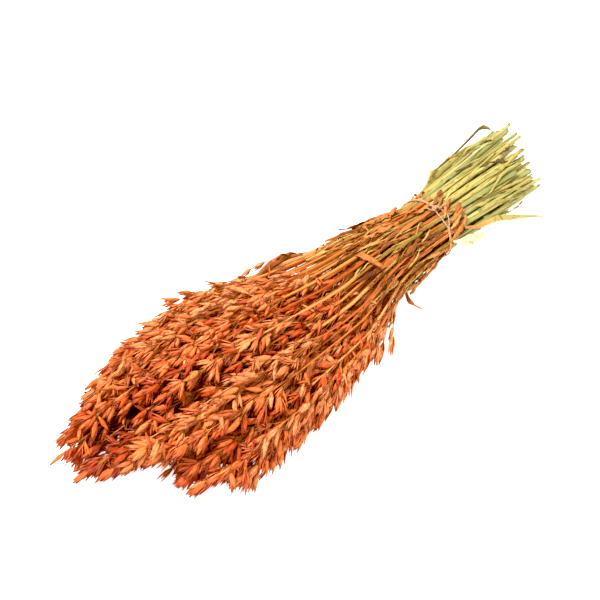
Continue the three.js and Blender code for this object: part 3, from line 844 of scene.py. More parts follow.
# %% [markdown]
# ## The named leaves
# Twelve leaves are large enough to be seen one by one, and are part of the frame: a dark one that stands
# out of the cut ends with a curled tip, a long one on the near side that turns from orange to green, a pale
# thin one beside the string, and folded orange ones on the stems. They are rebuilt here, thinner and mostly
# narrower, beside the same straws. Four of them have a course of their own, given by a few places that the
# leaf passes smoothly. Torn bits of leaf among the heads, stems and cut ends are made in the same way.

# %% Dress the frame's leaves
LEAF_CLEARANCE = 5.5
LEAVES = [
    # from, to, direction round the bundle, lift, width, colour tones at both ends, curl, twist, waves
    (226, 396, 30, 24, 6, 0.86, 0.86, 0.9, 0.6, 0.2),
    (224, 342, -156, 22, 9, 0.42, 0.80, 0.6, 0.4, 0.8),
    (220, 268, -138, 15, 18, 0.97, 0.99, 0.5, 0.1, 0.6),
    (224, 300, 92, 9, 6, 0.62, 0.72, 0.8, 0.3, 0.8),
    (222, 336, -6, 18, 7, 0.62, 0.78, 0.8, 0.6, 0.8),
    (150, 84, 84, 12, 9, 0.36, 0.42, 0.9, 0.7, 1.4),
    (168, 104, 118, 6, 7, 0.89, 0.89, 1.2, 0.5, 1.2),
    (168, 96, 34, 11, 7, 0.10, 0.22, 0.9, 0.6, 1.0),
    (150, 84, 188, 17, 6, 0.20, 0.32, 0.9, 1.4, 0.8),
    (178, 112, 56, 8, 7, 0.30, 0.42, 0.9, 0.4, 1.0),
    (182, 108, -160, 10, 7, 0.20, 0.34, 0.9, 0.8, 1.2),
    (184, 86, 8, 12, 7, 0.24, 0.38, 0.8, 0.9, 1.0),
]
COURSES = {
    # direction of a leaf: its places, and its half widths from root to tip
    30: ([(240, 34, 48), (252, 46, 50), (268, 55, 52), (294, 61, 53), (323, 63, 54), (365, 70, 55),
          (385, 74, 55), (395, 72, 55), (399, 64, 53)],
         [1.4, 1.8, 1.9, 1.9, 1.9, 2.1, 2.4, 4.0, 0.8]),
    -156: ([(214, -37, 57), (234, -41, 48), (253, -42, 44), (272, -44, 40), (299, -48, 29), (318, -54, 22),
            (350, -62, 9)], [1.5, 2.6, 3.6, 3.9, 3.2, 2.4, 0.6]),
    188: ([(126, -28, 34), (115, -36, 31), (106, -44, 29), (101, -52, 27), (101, -61, 26), (102, -70, 25)],
          [0.8, 1.6, 2.2, 2.6, 2.4, 0.5]),
    -138: ([(190, -40, 52), (196, -47, 52), (208, -49, 48), (224, -50, 43), (240, -48, 39)],
           [1, 4, 6.5, 6, 1.5]),
}
COURSE_FACING = Vector((-0.35, -0.7, 0.6))
TORN_BITS = [
    # places, half widths, tone, curl, twist, waves
    ([(-32, 55, 70), (-15, 57, 75), (7, 54, 80), (30, 43, 80)], [0.8, 4.2, 4.4, 0.8], 0.18, 0.6, 0.2, 0.8),
    ([(246, 45, 61), (261, 50, 63), (276, 54, 60)], [1.2, 3.8, 1.0], 0.60, 1.2, 0.9, 1.2),
    ([(303, 63, 55), (310, 61, 56), (318, 57, 58)], [0.8, 1.6, 0.5], 0.50, 0.9, 0.6, 0.6),
    ([(222, 36, 56), (248, 43, 55), (276, 49, 54), (303, 53, 53), (334, 57, 51)], [2, 6, 7, 6, 2],
     0.78, 0.7, 0.3, 0.8),
    ([(284, 60, 46), (312, 61, 48), (340, 64, 46), (366, 65, 46)], [1.5, 4.5, 4.5, 1.5], 0.70, 0.8, 0.4, 0.8),
    ([(280, 31, 65), (296, 25, 67), (312, 20, 66)], [0.8, 1.8, 0.6], 0.93, 1.2, 0.3, 0.6),
    ([(308, 14, 67), (320, 6, 71), (332, 0, 69), (340, -3, 66)], [0.8, 3.0, 2.8, 0.6], 0.93, 1.6, 2.2, 1.8),
    ([(344, 12, 68), (354, 10, 70), (368, 13, 69)], [0.8, 2.4, 0.6], 0.93, 1.4, 1.2, 1.2),
    ([(352, 48, 60), (360, 44, 63), (370, 42, 62)], [0.8, 1.8, 0.6], 0.93, 1.4, 1.2, 1.0),
]


def host_of(start, direction):
    half_width, half_height, aside, middle = section_at(start)

    def reach(straw):
        place = straight_straw(straw, start)
        return ((place.y - aside) / half_width * math.cos(direction)
                + (place.z - middle) / half_height * math.sin(direction))

    return max(straws, key=reach)


def leaf_path(host, start, end, direction, lift):
    def path(share):
        x = mix(start, end, share)
        off = mix(LEAF_CLEARANCE, lift, share ** 1.5)
        leaving = min(1, share * 4)
        return straight_straw(host, x).lerp(outside(x, direction, off), leaving * (2 - leaving))

    return path


def through(values, share):
    """A smooth course through the values, which are numbers or places."""
    at = share * (len(values) - 1)
    i = min(int(at), len(values) - 2)
    part = at - i
    before, a, b, after = (values[min(len(values) - 1, max(0, i + n))] for n in (-1, 0, 1, 2))
    leave, arrive = (b - before) * 0.5, (after - a) * 0.5
    return (a * (2 * part ** 3 - 3 * part ** 2 + 1) + leave * (part ** 3 - 2 * part ** 2 + part)
            + b * (3 * part ** 2 - 2 * part ** 3) + arrive * (part ** 3 - part ** 2))


def add_course(bm, places, halves, *look):
    """A leaf that passes through places, with half widths from its root to its tip."""
    places = [Vector(place) for place in places]
    facing = COURSE_FACING.normalized()
    add_ribbon(
        bm, leaf_shape, lambda share: through(places, share), lambda share: facing,
        lambda share: through(halves, share), *look,
    )


def add_named_leaf(bm, host, leaf):
    start, end, degrees, lift, width, tone, last_tone, curl, twist, waves = leaf
    if degrees in COURSES:
        add_course(bm, *COURSES[degrees], (tone, last_tone), curl, twist, waves, start + degrees)
        return
    direction = math.radians(degrees)
    half_width, half_height, _, _ = section_at((start + end) / 2)
    facing = Vector((0, half_height * math.cos(direction), half_width * math.sin(direction))).normalized()
    add_ribbon(
        bm, leaf_shape, leaf_path(host, start, end, direction, lift), lambda share: facing,
        lambda share: width / 2 * mix(0.2, 1, math.sin(math.pi * (0.06 + share * 0.9))),
        (tone, last_tone), curl, twist, waves, start + degrees,
    )


def add_torn_bit(bm, bit):
    places, halves, tone, curl, twist, waves = bit
    add_course(bm, places, halves, (tone, tone), curl, twist, waves, places[0][0])


hosts = {}
for leaf in LEAVES:
    hosts.setdefault(host_of(leaf[0], math.radians(leaf[2])).k, []).append(leaf)
print("named leaves grow from straws", sorted(hosts))

# %% [markdown]
# ## Sheaths, small leaves and scraps
# Around the outside of the bunch every stalk still wears its leaf sheath beyond the string, a split pipe
# that gapes at the cut, and has torn strips of leaves along the stem before the string. They follow their
# own stalk a few millimetres off it, and lie tight where the string holds them. A few folded scraps lie
# across the stems, and crumpled bits stick out round the string.

# %% Dress an outer stalk
OUTER = 0.62
SCRAP_OFF = 1.5
SHEATH_STARTS, SHEATH_SHORT_BY, SHEATH_RADII = (212, 260), (-6, 90), (2.3, 3.1)
SHEATH_CURLS, SHEATH_TURN, SHEATH_GAPES = (1.3, 2.5), 0.9, (0, 4.5)
SHEATH_TAPERS, SHEATH_ASTRAY, UNDYED_TONES = (0.15, 0.8), 4.5, (0.62, 0.83)
STRIPS_EACH, STRIP_STARTS, STRIP_LENGTHS = 5, (70, 197), (22, 80)
BUTT_STRIP_STARTS, BUTT_STRIP_LENGTHS, BUTT_STRIP_TONES = (320, 400), (40, 90), (0.65, 0.82)
STRIP_HALVES, STRIP_LIFTS, STRIP_WANDER = (0.7, 2.3), (0.5, 5.5), 7
STRIP_TONES = [(0.05, 0.3), (0.25, 0.45), (0.40, 0.62)]
CRUMPLE_SHARE, CRUMPLE_FROM, CRUMPLE_LENGTHS = 0.35, 4, (12, 32)
CRUMPLE_HALVES, CRUMPLE_TONES, CRUMPLE_LIFTS, CRUMPLE_WANDER = (1.4, 3.2), (0.28, 0.54), (2, 7), 5
SCRAPS = [
    # from x, direction, to x, direction, width, lift, tone, curl, twist, waves
    (66, 90, 77, 122, 9, 5, 0.30, 0.9, 0.4, 1.4),
    (75, 121, 110, 126, 7, 4, 0.26, 1.0, 0.5, 1.2),
    (38, 113, 74, 120, 5, 1.5, 0.0, 0.6, 0.4, 1.0),
    (110, 151, 142, 136, 1.8, 5, 0.60, 0.4, 0.1, 0.2),
    (146, 132, 172, 122, 2.2, 4, 0.58, 0.5, 0.2, 0.3),
    (144, 127, 186, 139, 5, 3, 0.03, 1.4, 1.4, 1.8),
    (120, 44, 108, 74, 5, 4, 0.26, 1.2, 0.8, 1.0),
    (180, 40, 150, 66, 9, 3, 0.34, 0.7, 0.4, 1.2),
    (196, 98, 126, 102, 6, 3.5, 0.33, 0.8, 0.3, 0.6),
    (152, 124, 116, 132, 9, 4, 0.10, 1.3, 0.7, 1.8),
    (236, 78, 203, 92, 6, 5, 0.14, 1.4, 0.8, 0.9),
    (228, 88, 206, 98, 4, 4, 0.34, 1.4, 1.2, 0.8),
    (230, 100, 204, 112, 5, 3, 0.30, 1.3, 0.9, 0.9),
    (222, 96, 200, 120, 5, 4, 0.40, 1.1, 0.8, 0.7),
    (236, 114, 214, 126, 5, 3, 0.24, 1.3, 1.2, 0.9),
    (234, 124, 206, 130, 6, 3, 0.36, 1.1, 0.9, 0.9),
    (226, 130, 198, 142, 5, 4, 0.46, 1.1, 0.8, 0.8),
    (230, 136, 216, 150, 5, 3, 0.40, 1.4, 1.2, 0.9),
    (224, 144, 202, 156, 7, 3, 0.32, 1.3, 1.0, 0.9),
    (214, 152, 190, 160, 6, 3, 0.36, 1.3, 1.0, 0.9),
    (206, 84, 176, 90, 7, 3, 0.38, 1.4, 0.9, 1.0),
    (30, 42, -24, 56, 8, 12, 0.20, 1.1, 0.6, 1.2),
    (96, -30, 60, 10, 8, 5, 0.24, 1.1, 0.8, 1.2),
    (150, -60, 96, -84, 8, 3, 0.30, 1.1, 0.5, 1.0),
    (170, 200, 104, 214, 7, 4, 0.36, 0.9, 0.8, 1.0),
    (176, -20, 120, -14, 7, 4, 0.64, 0.9, 0.3, 0.8),
]


def outward_of(straw, x):
    place = straw_line(straw, x)
    half_width, half_height, aside, middle = section_at(x)
    across, up = (place.y - aside) / half_width ** 2, (place.z - middle) / half_height ** 2
    return Vector((0, across, up)).normalized()


def beside_straw(straw, start, end, lift, wander, seed):
    def path(share):
        x = mix(start, end, share)
        out = outward_of(straw, x)
        side = Vector((0, -out.z, out.y))
        tight = 1 - math.exp(-(((x - TIE_AT) / 16) ** 2))
        off = along_stations(RADII, x) + 0.25 + tight * lift * math.sin(math.pi * min(1, share * 1.1)) ** 0.8
        aside = tight * wander * math.sin(share * 3.4 + seed)
        return straw_line(straw, x) + out * off + side * aside

    return path


def leaf_outline(half, narrow, root=0.08):
    return lambda share: half * mix(narrow, 1, math.sin(math.pi * (root + (0.94 - root) * share)))


def add_sheath(bm, straw, rng):
    start, end = rng.uniform(*SHEATH_STARTS), straw.butt - rng.uniform(*SHEATH_SHORT_BY)
    radius = rng.uniform(*SHEATH_RADII)
    curl = rng.uniform(*SHEATH_CURLS)
    turned = rng.uniform(-SHEATH_TURN, SHEATH_TURN)
    gape, taper = rng.uniform(*SHEATH_GAPES), rng.uniform(*SHEATH_TAPERS)
    astray = rng.gauss(0, SHEATH_ASTRAY)
    tone = rng.uniform(*UNDYED_TONES)

    def path(share):
        x = mix(start, end, share)
        out = outward_of(straw, x)
        side = Vector((0, -out.z, out.y))
        turned_out = Matrix.Rotation(turned, 3, "X") @ out
        return straw_line(straw, x) + turned_out * (radius + share ** 2 * gape) + side * astray * share ** 1.6

    add_ribbon(
        bm, leaf_shape, path,
        lambda share: Matrix.Rotation(turned, 3, "X") @ outward_of(straw, mix(start, end, share)),
        lambda share: radius * curl * mix(0.9, taper, share ** 2), (tone, tone + rng.uniform(-0.05, 0.05)),
        curl, rng.uniform(-0.6, 0.6), rng.uniform(0.1, 0.5), rng.uniform(0, 9),
    )


def add_strip(bm, straw, rng, start, length):
    """A torn strip of leaf along a stem."""
    end = start - length
    half = rng.uniform(*STRIP_HALVES)
    tone = rng.choice([rng.uniform(*tones) for tones in STRIP_TONES])
    if start > TIE_AT:
        tone = rng.uniform(*BUTT_STRIP_TONES)
    lift, wander = rng.uniform(*STRIP_LIFTS), rng.uniform(-STRIP_WANDER, STRIP_WANDER)
    seed = rng.uniform(0, 9)
    add_ribbon(
        bm, strip_shape, beside_straw(straw, start, end, lift, wander, seed),
        lambda share: outward_of(straw, mix(start, end, share)), leaf_outline(half, 0.2),
        (tone, tone + rng.uniform(-0.08, 0.08)), rng.uniform(0.6, 1.9), rng.uniform(-2.4, 2.4),
        rng.uniform(0.3, 1.3), rng.uniform(0, 9),
    )


def add_crumple(bm, straw, rng):
    """A torn bit of leaf that sticks out from under the string."""
    onward = rng.choice([-1, 1, 1])
    start = TIE_AT + onward * rng.uniform(0, CRUMPLE_FROM)
    end = start + onward * rng.uniform(*CRUMPLE_LENGTHS)
    half = rng.uniform(*CRUMPLE_HALVES)
    tone = rng.uniform(*CRUMPLE_TONES)
    lift, wander, seed = rng.uniform(*CRUMPLE_LIFTS), rng.uniform(0, CRUMPLE_WANDER), rng.uniform(0, 9)
    add_ribbon(
        bm, strip_shape, beside_straw(straw, start, end, lift, wander, seed),
        lambda share: outward_of(straw, mix(start, end, share)), leaf_outline(half, 0.4),
        (tone, tone), rng.uniform(0.8, 2.0), rng.uniform(-1.4, 1.4), rng.uniform(0.8, 1.8), rng.uniform(0, 9),
    )


def add_scrap(bm, scrap):
    start, first, end, last, width, lift, tone, curl, twist, waves = scrap

    def path(share):
        x = mix(start, end, share)
        off = along_stations(RADII, x) + lift * math.sin(math.pi * share) ** 0.7 + SCRAP_OFF
        return outside(x, math.radians(mix(first, last, share)), off)

    def facing(share):
        direction = math.radians(mix(first, last, share))
        return Vector((0.001, math.cos(direction), math.sin(direction)))

    add_ribbon(
        bm, leaf_shape, path, facing, leaf_outline(width / 2, 0.25),
        (tone, tone + 0.05), curl, twist, waves, first,
    )


scrap_hosts = {}
for scrap in SCRAPS:
    scrap_hosts.setdefault(host_of(scrap[0], math.radians(scrap[1])).k, []).append(scrap)
bit_hosts = {}
for bit in TORN_BITS:
    x, y, z = bit[0][0]
    _, _, aside, middle = section_at(x)
    bit_hosts.setdefault(host_of(x, math.atan2(z - middle, y - aside)).k, []).append(bit)
print("straws on the outside:", sum(straw.out > OUTER for straw in straws), "scraps:", len(SCRAPS))

# %% [markdown]
# ## Materials
# Each material reads the map: the strip number is the tone of a copy, the place within the strip lies
# across it, and the lengthwise share runs from its root to its tip, or along the bundle for a straw. The
# colours are given as hex numbers, as they look on screen.

# %% Node helpers


def linear(hex_colour):
    channels = [int(hex_colour[i:i + 2], 16) / 255 for i in (0, 2, 4)]
    return (*[c / 12.92 if c <= 0.04045 else ((c + 0.055) / 1.055) ** 2.4 for c in channels], 1.0)


class Finish:
    """One material, with short calls that add and join its nodes."""

    def __init__(self, name):
        self.material = bpy.data.materials.new(name)
        self.material.use_nodes = True
        self.tree = self.material.node_tree
        self.shader = self.tree.nodes["Principled BSDF"]

    def node(self, kind, inputs=(), **settings):
        node = self.tree.nodes.new(kind)
        for key, value in settings.items():
            setattr(node, key, value)
        for socket, value in dict(inputs).items():
            self.set(node.inputs[socket], value)
        return node

    def set(self, socket, value):
        if isinstance(value, bpy.types.NodeSocket):
            self.tree.links.new(value, socket)
        else:
            socket.default_value = value

    def math(self, operation, *values, clamp=False):
        node = self.node("ShaderNodeMath", enumerate(values), operation=operation, use_clamp=clamp)
        return node.outputs[0]

    def ramp(self, factor, stops):
        node = self.node("ShaderNodeValToRGB", {0: factor})
        elements = node.color_ramp.elements
        while len(elements) < len(stops):
            elements.new(1)
        for element, (place, hex_colour) in zip(elements, stops):
            element.position = place
            element.color = linear(hex_colour)
        return node.outputs[0]

    def mix(self, factor, a, b, kind="MIX"):
        node = self.node("ShaderNodeMix", data_type="RGBA", blend_type=kind)
        self.set(node.inputs[0], factor)
        self.set(node.inputs[6], a)
        self.set(node.inputs[7], b)
        return node.outputs[2]

    def noise(self, across, along, scale_across, scale_along, detail=2):
        place = self.node("ShaderNodeCombineXYZ", {
            0: self.math("MULTIPLY", across, scale_across),
            1: self.math("MULTIPLY", along, scale_along),
        })
        node = self.node("ShaderNodeTexNoise", {"Vector": place.outputs[0], "Scale": 1.0, "Detail": detail})
        return node.outputs[0]

    def smooth(self, value, low, high, start=0.0, end=1.0, kind="SMOOTHSTEP"):
        node = self.node("ShaderNodeMapRange", interpolation_type=kind)
        for socket, item in zip((0, 1, 2, 3, 4), (value, low, high, start, end)):
            self.set(node.inputs[socket], item)
        return node.outputs[0]

    def map_parts(self, band):
        """The tone, the place across the strip and the place along the band."""
        split = self.node("ShaderNodeSeparateXYZ", {0: self.node("ShaderNodeUVMap", uv_map=UV).outputs[0]})
        strips = self.math("MULTIPLY", split.outputs[0], float(STRIPS))
        tone = self.math("DIVIDE", self.math("FLOOR", strips), STRIPS - 1.0)
        lateral = self.math("FRACT", strips)
        along = self.smooth(split.outputs[1], *band, kind="LINEAR")
        return split.outputs[0], tone, lateral, along

    def over(self, colour, hex_colour, *fade):
        """A colour laid over another, as strongly as a smooth fade says."""
        return self.mix(self.smooth(*fade), colour, linear(hex_colour))

    def surface(self, colour, roughness, specular):
        self.set(self.shader.inputs["Base Color"], colour)
        self.set(self.shader.inputs["Roughness"], roughness)
        self.shader.inputs["Specular IOR Level"].default_value = specular

    def bump(self, height, strength, distance):
        node = self.node("ShaderNodeBump", {"Height": height})
        node.inputs["Strength"].default_value = strength
        node.inputs["Distance"].default_value = distance
        self.tree.links.new(node.outputs[0], self.shader.inputs["Normal"])


# %% [markdown]
# ### Husks
# A dyed husk is papery: pale and yellowish at its root, rust orange along its body, darker at the tip, with
# fine pale nerves from root to tip, which also serve as painted highlights. A painted highlight runs along
# its rims and a painted shade lies on its hollow inside. Tones run from deep rust to light orange.

# %% The husk material
RIM_LATERAL = mix(STRIP_EDGE, 1 - STRIP_EDGE, RIM_AT / INSIDE_AT)
husk = Finish("dyed_husk")
u, tone, lateral, along = husk.map_parts(HUSK_BAND)
body = husk.ramp(tone, [
    (0.0, "8A2400"), (0.18, "B43C08"), (0.36, "CC5212"), (0.54, "D86820"), (0.7, "DC7A36"), (0.85, "E08848"),
    (1.0, "E69C60"),
])
nerves = husk.noise(u, along, 900, 3, 1)
mottled = husk.noise(u, along, 170, 6, 3)
body = husk.over(body, "7A1800", mottled, 0.38, 0.7, 0, 0.6)
clearer = husk.smooth(tone, 0.1, 0.75, 0.3, 1)
# Pale nerves from root to tip: partly real veins, partly painted highlights on the husk.
nerve_and_highlight_share = husk.math("MULTIPLY", husk.smooth(nerves, 0.46, 0.66, 0, 0.4), clearer)
body = husk.mix(nerve_and_highlight_share, body, linear("F4BA9A"))
# A painted highlight along each husk's rims, for light shining through their thin edges.
rim = husk.math("ABSOLUTE", husk.math("SUBTRACT", lateral, RIM_LATERAL))
body = husk.over(body, "F6BC9A", rim, 0.0, 0.1, 0.4, 0.0)
# Painted shade on the hollow inside of each husk.
body = husk.over(body, "6A1A00", lateral, 0.68, 0.8, 0.0, 0.5)
body = husk.over(body, "D9903C", along, 0.0, 0.22, 0.45, 0.0)
body = husk.over(body, "5C1A00", along, 0.62, 1.0, 0.0, 0.9)
husk.surface(body, husk.smooth(nerves, 0.3, 0.7, 0.5, 0.72), 0.1)
husk.bump(nerves, 0.25, 0.0003)
print("husk nodes:", len(husk.tree.nodes))

# %% [markdown]
# ### Leaves
# The tone runs through all colours that a dried leaf of the bunch has: dark brown, rust, orange, tan,
# yellow, yellow green, grey green and a thin pale cream. Long veins and brown specks go over them.

# %% The leaf material
blade = Finish("dried_leaf")
u, tone, _, along = blade.map_parts(LEAF_BAND)
colour = blade.ramp(tone, [
    (0.0, "5E3216"), (0.12, "86461C"), (0.25, "AC5824"), (0.38, "C07236"), (0.5, "C69050"),
    (0.58, "BEA654"), (0.7, "B2AA60"), (0.8, "A09850"), (0.85, "6E7040"), (0.88, "6E7040"),
    (0.9, "8C7630"), (0.935, "4A3014"), (0.965, "D8DAAE"),
])
veins = blade.noise(u, along, 700, 2, 2)
specks = blade.noise(u, along, 120, 14, 4)
paler = blade.mix(0.4, colour, linear("FFE8A0"))
clearer = blade.smooth(tone, 0, 0.3, 0.2, 1)
vein_share = blade.math("MULTIPLY", blade.smooth(veins, 0.4, 0.75, 0, 0.4), clearer)
colour = blade.mix(vein_share, colour, paler)
colour = blade.over(colour, "62300F", specks, 0.5, 0.72, 0, 0.7)
blade.surface(colour, blade.smooth(veins, 0.3, 0.7, 0.48, 0.7), 0.22)
blade.bump(veins, 0.3, 0.0004)
print("leaf nodes:", len(blade.tree.nodes))

# %% [markdown]
# ### Straws
# A straw is one colour from its cut to the string, somewhere between straw yellow and green, then takes the
# dye: ochre, brown and orange on the stems, and a paler orange in the heads. The dye's edge is uneven. Pale
# streaks along it are painted highlights, weaker in the heads, and dark streaks are painted shade from the
# gaps between straws.

# %% The straw material
culm = Finish("oat_straw")
u, tone, _, along = culm.map_parts(STRAW_BAND)
COLOUR_CHANGES = TIE_AT, 80, 385
TIE_SHARE, HEAD_SHARE, CUT_SHARE = ((x - FIRST_X) / (LAST_X - FIRST_X) for x in COLOUR_CHANGES)
green = culm.ramp(tone, [
    (0.0, "9E9C50"), (0.25, "B4AC5E"), (0.5, "C4B86A"), (0.7, "B0AA5C"), (0.85, "909858"), (1.0, "CEC082"),
])
dyed = culm.ramp(tone, [
    (0.0, "7A320A"), (0.2, "B05210"), (0.4, "AC7018"), (0.55, "C4681C"), (0.7, "8E440E"), (0.85, "82721E"),
    (1.0, "CC822C"),
])
pale = culm.ramp(tone, [(0.0, "A03C0E"), (0.4, "BE5E1C"), (0.7, "D0823C"), (1.0, "DC9C58")])
streaks = culm.noise(u, along, 200, 5, 3)
patches = culm.noise(u, along, 60, 22, 3)
edge = culm.math("ADD", along, culm.smooth(patches, 0.3, 0.7, -0.04, 0.03))
colour = culm.mix(culm.smooth(edge, HEAD_SHARE - 0.06, HEAD_SHARE + 0.06), pale, dyed)
undyed = culm.smooth(edge, TIE_SHARE, TIE_SHARE + 0.045)
colour = culm.mix(undyed, colour, green)
colour = culm.over(colour, "86835C", edge, CUT_SHARE, CUT_SHARE + 0.05, 0, 0.35)
# Pale streaks along the straws are painted highlights, weaker in the heads than on the stems and cut ends.
bold = culm.smooth(along, HEAD_SHARE - 0.15, HEAD_SHARE, 0.3, 1.0)
painted_highlight_colour = culm.mix(undyed, linear("FFD08A"), linear("F4ECBC"))
painted_highlight_share = culm.math("MULTIPLY", bold, culm.smooth(streaks, 0.45, 0.62, 0, 0.6))
colour = culm.mix(painted_highlight_share, colour, culm.mix(0.5, colour, painted_highlight_colour))
# Dark streaks along the straws are painted shade, for the gaps between neighbouring straws.
painted_streak_shade = culm.mix(undyed, linear("522C0A"), linear("6E5A24"))
colour = culm.mix(culm.smooth(streaks, 0.3, 0.45, 0.4, 0), colour, painted_streak_shade)
blotch = culm.mix(undyed, linear("6A300C"), linear("7E6430"))
colour = culm.mix(culm.smooth(patches, 0.52, 0.8, 0, 0.5), colour, blotch)
culm.surface(colour, culm.smooth(streaks, 0.3, 0.7, 0.38, 0.6), 0.3)
culm.bump(streaks, 0.25, 0.0003)
print("straw nodes:", len(culm.tree.nodes))

# %% [markdown]
# ## Build the stalks
# One piece is made for each packed pair of stalks, and stands for it. It holds both straws with their
# panicles and the leaves that grow on them.

# %% Build every pair of stalks
MATERIALS = [husk.material, blade.material, culm.material]


def finish_piece(bm, name, materials):
    for vert in bm.verts:
        vert.co.z = press(vert.co.z)
    bmesh.ops.transform(bm, matrix=TO_FRAME, verts=bm.verts)
    mesh = bpy.data.meshes.new(name)
    bm.to_mesh(mesh)
    bm.free()
    for material in materials:
        mesh.materials.append(material)
    piece = placed(name, mesh)
    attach(piece, "root")
    return piece, sum(len(p.vertices) - 2 for p in mesh.polygons)


all_triangles = all_spikelets = 0
for pair in range(PAIRS):
    node = f"stalks_{pair + 1:02d}"
    rng = random.Random(pair + 1)
    bm = bmesh.new()
    bm.loops.layers.uv.new(UV)
    for straw in straws[2 * pair:2 * pair + 2]:
        add_straw(bm, straw, rng)
        all_spikelets += add_panicle(bm, straw, rng)
        if straw.out > OUTER:
            add_sheath(bm, straw, rng)
            for _ in range(STRIPS_EACH):
                add_strip(bm, straw, rng, rng.uniform(*STRIP_STARTS), rng.uniform(*STRIP_LENGTHS))
            start = min(straw.butt - 3, rng.uniform(*BUTT_STRIP_STARTS))
            add_strip(bm, straw, rng, start, rng.uniform(*BUTT_STRIP_LENGTHS))
            if rng.random() < CRUMPLE_SHARE:
                add_crumple(bm, straw, rng)
        for leaf in hosts.get(straw.k, []):
            add_named_leaf(bm, straw, leaf)
        for scrap in scrap_hosts.get(straw.k, []):
            add_scrap(bm, scrap)
        for bit in bit_hosts.get(straw.k, []):
            add_torn_bit(bm, bit)
    piece, triangles = finish_piece(bm, f"dressed_{node}", MATERIALS)
    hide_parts(node)
    all_triangles += triangles
print("spikelets:", all_spikelets, "triangles:", all_triangles)

# %% [markdown]
# ## The string
# The bunch is tied with two turns of thin two-ply twine, twisted together on top, with two short ends. Each
# ply is a pipe that winds round the twine's middle line.

# %% Wind the twine
TWINE_RADIUS = 1.25
TWINE_GAP = 0.35
TIE_STRAW_RADIUS = 2.8
KNOT_DIRECTION = 98
PLY_RADIUS = 0.52
PLY_PITCH = 7.0
PLY_SIDES = 6


def twine_point(degrees, height, x=TIE_AT):
    reach = TIE_STRAW_RADIUS + TWINE_GAP + TWINE_RADIUS + height
    point = outside(TIE_AT, math.radians(degrees), reach)
    point.x = x
    return point


def add_plies(bm, points):
    """Two plies wound round a row of points."""
    travelled = 0.0
    rows = []
    side = Vector((1, 0, 0))
    for i, point in enumerate(points):
        onward = (points[min(i + 1, len(points) - 1)] - points[max(i - 1, 0)]).normalized()
        side = (side - onward * side.dot(onward)).normalized()
        if i:
            travelled += (point - points[i - 1]).length
        rows.append((point, side.copy(), onward.cross(side), travelled))
    for ply in (0, math.pi):
        first = len(bm.verts)
        verts = add_prism(bm, PLY_SIDES, cap_ends=True)
        long_edges = [e for e in {e for v in verts for e in v.link_edges}
                      if abs(e.verts[0].co.z - e.verts[1].co.z) > 0.5]
        bmesh.ops.subdivide_edges(bm, edges=long_edges, cuts=len(points) - 2, use_grid_fill=True)
        bm.verts.ensure_lookup_table()
        layer = bm.loops.layers.uv[UV]
        for vert in bm.verts[first:]:
            row = round((vert.co.z + 0.5) * (len(points) - 1))
            point, a, b, distance = rows[row]
            turn = distance / PLY_PITCH * math.tau + ply
            centre = (a * math.cos(turn) + b * math.sin(turn)) * PLY_RADIUS * 0.92
            around = (a * vert.co.x + b * vert.co.y) * PLY_RADIUS
            lateral = abs(math.atan2(vert.co.x, vert.co.y)) / math.pi
            for loop in vert.link_loops:
                loop[layer].uv = (lateral * 0.2 + ply * 0.08, distance / 300)
            vert.co = point + centre + around


TWINE_SHIFTS = [1, 2, 5, 3, 2, -6, -9, -7, -5, -3, -1, 0]
TURNS_APART, APART_FROM, APART_TO = 4.5, 94, 138
TWINE_STEPS = 150
END_STEPS, END_REACH, END_WAVE, END_RISE = 25, 13, 2.2, 3.5
LOOP_STEPS, LOOP_TURNS, LOOP_REACH, LOOP_HALF = 59, 1.6, 3.4, 5


def twine_path():
    """Two turns from the knot round the bunch and back, which part and cross on the near side."""
    points = []
    for i in range(2 * TWINE_STEPS + 1):
        degrees = (KNOT_DIRECTION + 360 * i / TWINE_STEPS) % 360
        shift = through([*TWINE_SHIFTS, TWINE_SHIFTS[0]], degrees / 360)
        turn = 1 if i < TWINE_STEPS else -1
        apart = max(0, math.sin(math.pi * (degrees - APART_FROM) / (APART_TO - APART_FROM)))
        if not APART_FROM < degrees < APART_TO:
            apart = 0
        swap = math.cos(math.pi * i / TWINE_STEPS)
        points.append(twine_point(degrees, 0, TIE_AT + shift + 0.7 * swap + turn * TURNS_APART * apart))
    return points


bm = bmesh.new()
bm.loops.layers.uv.new(UV)
add_plies(bm, twine_path())
knot = twine_point(KNOT_DIRECTION, TWINE_RADIUS)
for onward, aside, phase in ((1, -7, 0), (-1, 8, 2)):
    ends = []
    for i in range(END_STEPS + 1):
        share = i / END_STEPS
        ends.append(knot + Vector((
            onward * END_REACH * share ** 1.1,
            aside * share ** 1.4 + END_WAVE * math.sin(share * 7 + phase) * (1 - share),
            1.2 * math.sin(share * 9 + phase) + END_RISE * share ** 2,
        )))
    add_plies(bm, ends)
loop_points = []
for i in range(LOOP_STEPS + 1):
    share = i / LOOP_STEPS
    angle = share * math.tau * LOOP_TURNS
    loop_points.append(knot + Vector((
        LOOP_REACH * math.cos(angle) * mix(1, 0.7, share),
        mix(-LOOP_HALF, LOOP_HALF, share) + 2.2 * math.sin(angle),
        1.8 + 1.6 * math.sin(angle * 1.5),
    )))
add_plies(bm, loop_points)
for face in bm.faces:
    face.smooth = True
bmesh.ops.recalc_face_normals(bm, faces=bm.faces)

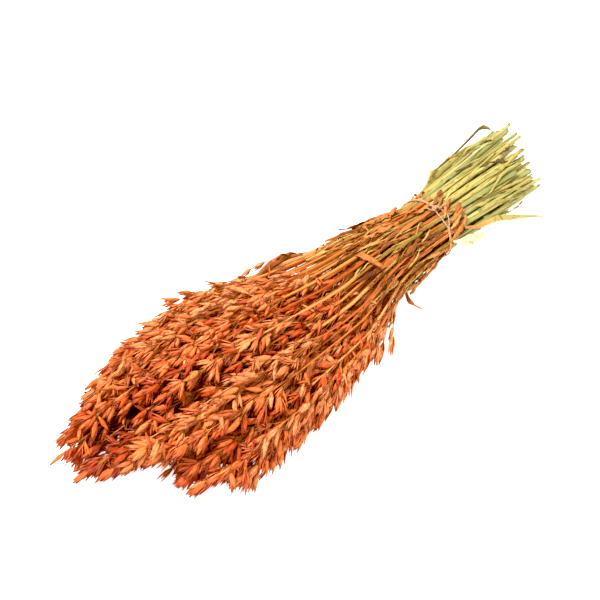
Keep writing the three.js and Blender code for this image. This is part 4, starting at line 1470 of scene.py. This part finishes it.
twine = Finish("twine")
split = twine.node("ShaderNodeSeparateXYZ", {0: twine.node("ShaderNodeUVMap", uv_map=UV).outputs[0]})
fibres = twine.noise(split.outputs[0], split.outputs[1], 60, 500, 3)
worn = twine.noise(split.outputs[0], split.outputs[1], 6, 30, 3)
colour = twine.ramp(fibres, [(0.25, "A8745A"), (0.5, "CC9878"), (0.75, "E2B89A")])
colour = twine.over(colour, "C07A58", worn, 0.5, 0.8, 0, 0.5)
twine.surface(colour, twine.smooth(fibres, 0.3, 0.7, 0.75, 0.95), 0.2)
twine.bump(fibres, 0.5, 0.0003)
piece, triangles = finish_piece(bm, "dressed_tie", [twine.material])
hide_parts("tie")
print("twine triangles:", triangles, "in all:", all_triangles + triangles)

# %% [markdown]
# ## Light and floor
# The bunch lies on a white studio floor under large soft lamps, so that the floor is almost as bright as
# the page and its shadow is faint. The floor gives off light of its own for that. The light from all round
# is warm, and a black point in the view deepens the darks between the husks.

# %% Light the studio
floor_bm = bmesh.new()
bmesh.ops.create_grid(floor_bm, x_segments=1, y_segments=1, size=4)
floor_mesh = bpy.data.meshes.new("floor")
floor_bm.to_mesh(floor_mesh)
floor_bm.free()
floor_finish = Finish("studio_floor")
floor_finish.surface((0.9, 0.9, 0.9, 1), 0.9, 0.0)
floor_finish.shader.inputs["Emission Color"].default_value = (1, 1, 1, 1)
floor_finish.shader.inputs["Emission Strength"].default_value = 0.85
floor_mesh.materials.append(floor_finish.material)
floor = placed("floor", floor_mesh)
floor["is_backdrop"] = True

world = bpy.data.worlds.new("studio")
world.use_nodes = True
world.node_tree.nodes["Background"].inputs[0].default_value = (1, 0.86, 0.66, 1)
world.node_tree.nodes["Background"].inputs[1].default_value = 0.7
bpy.context.scene.world = world


def soft_lamp(name, place, size, power):
    data = bpy.data.lights.new(name, "AREA")
    data.shape = "DISK"
    data.size = size
    data.energy = power
    lamp = placed(name, data)
    lamp.location = place
    lamp.rotation_euler = Vector(place).to_track_quat("Z", "Y").to_euler()


soft_lamp("key", (-0.8, 0.3, 1.9), 0.9, 72)
soft_lamp("fill", (-0.4, -1.5, 1.2), 1.0, 10)

BLACK_POINT = 0.01
view = bpy.context.scene.view_settings
view.view_transform = "Standard"
view.look = "None"
view.use_curve_mapping = True
view.curve_mapping.black_level = (BLACK_POINT, BLACK_POINT, BLACK_POINT)
print("lamps placed")

# %% [markdown]
# ## Finish
# The box of the dressed bunch is printed beside the box of the imported one, so that their sizes can be
# compared.

# %% Print both boxes and finish
sizes = {"cad": [list(corner) for corner in cad_box], "visual": [list(corner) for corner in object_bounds()]}
for name, (low, high) in sizes.items():
    print(name, [round(1000 * n, 1) for n in low], [round(1000 * n, 1) for n in high])
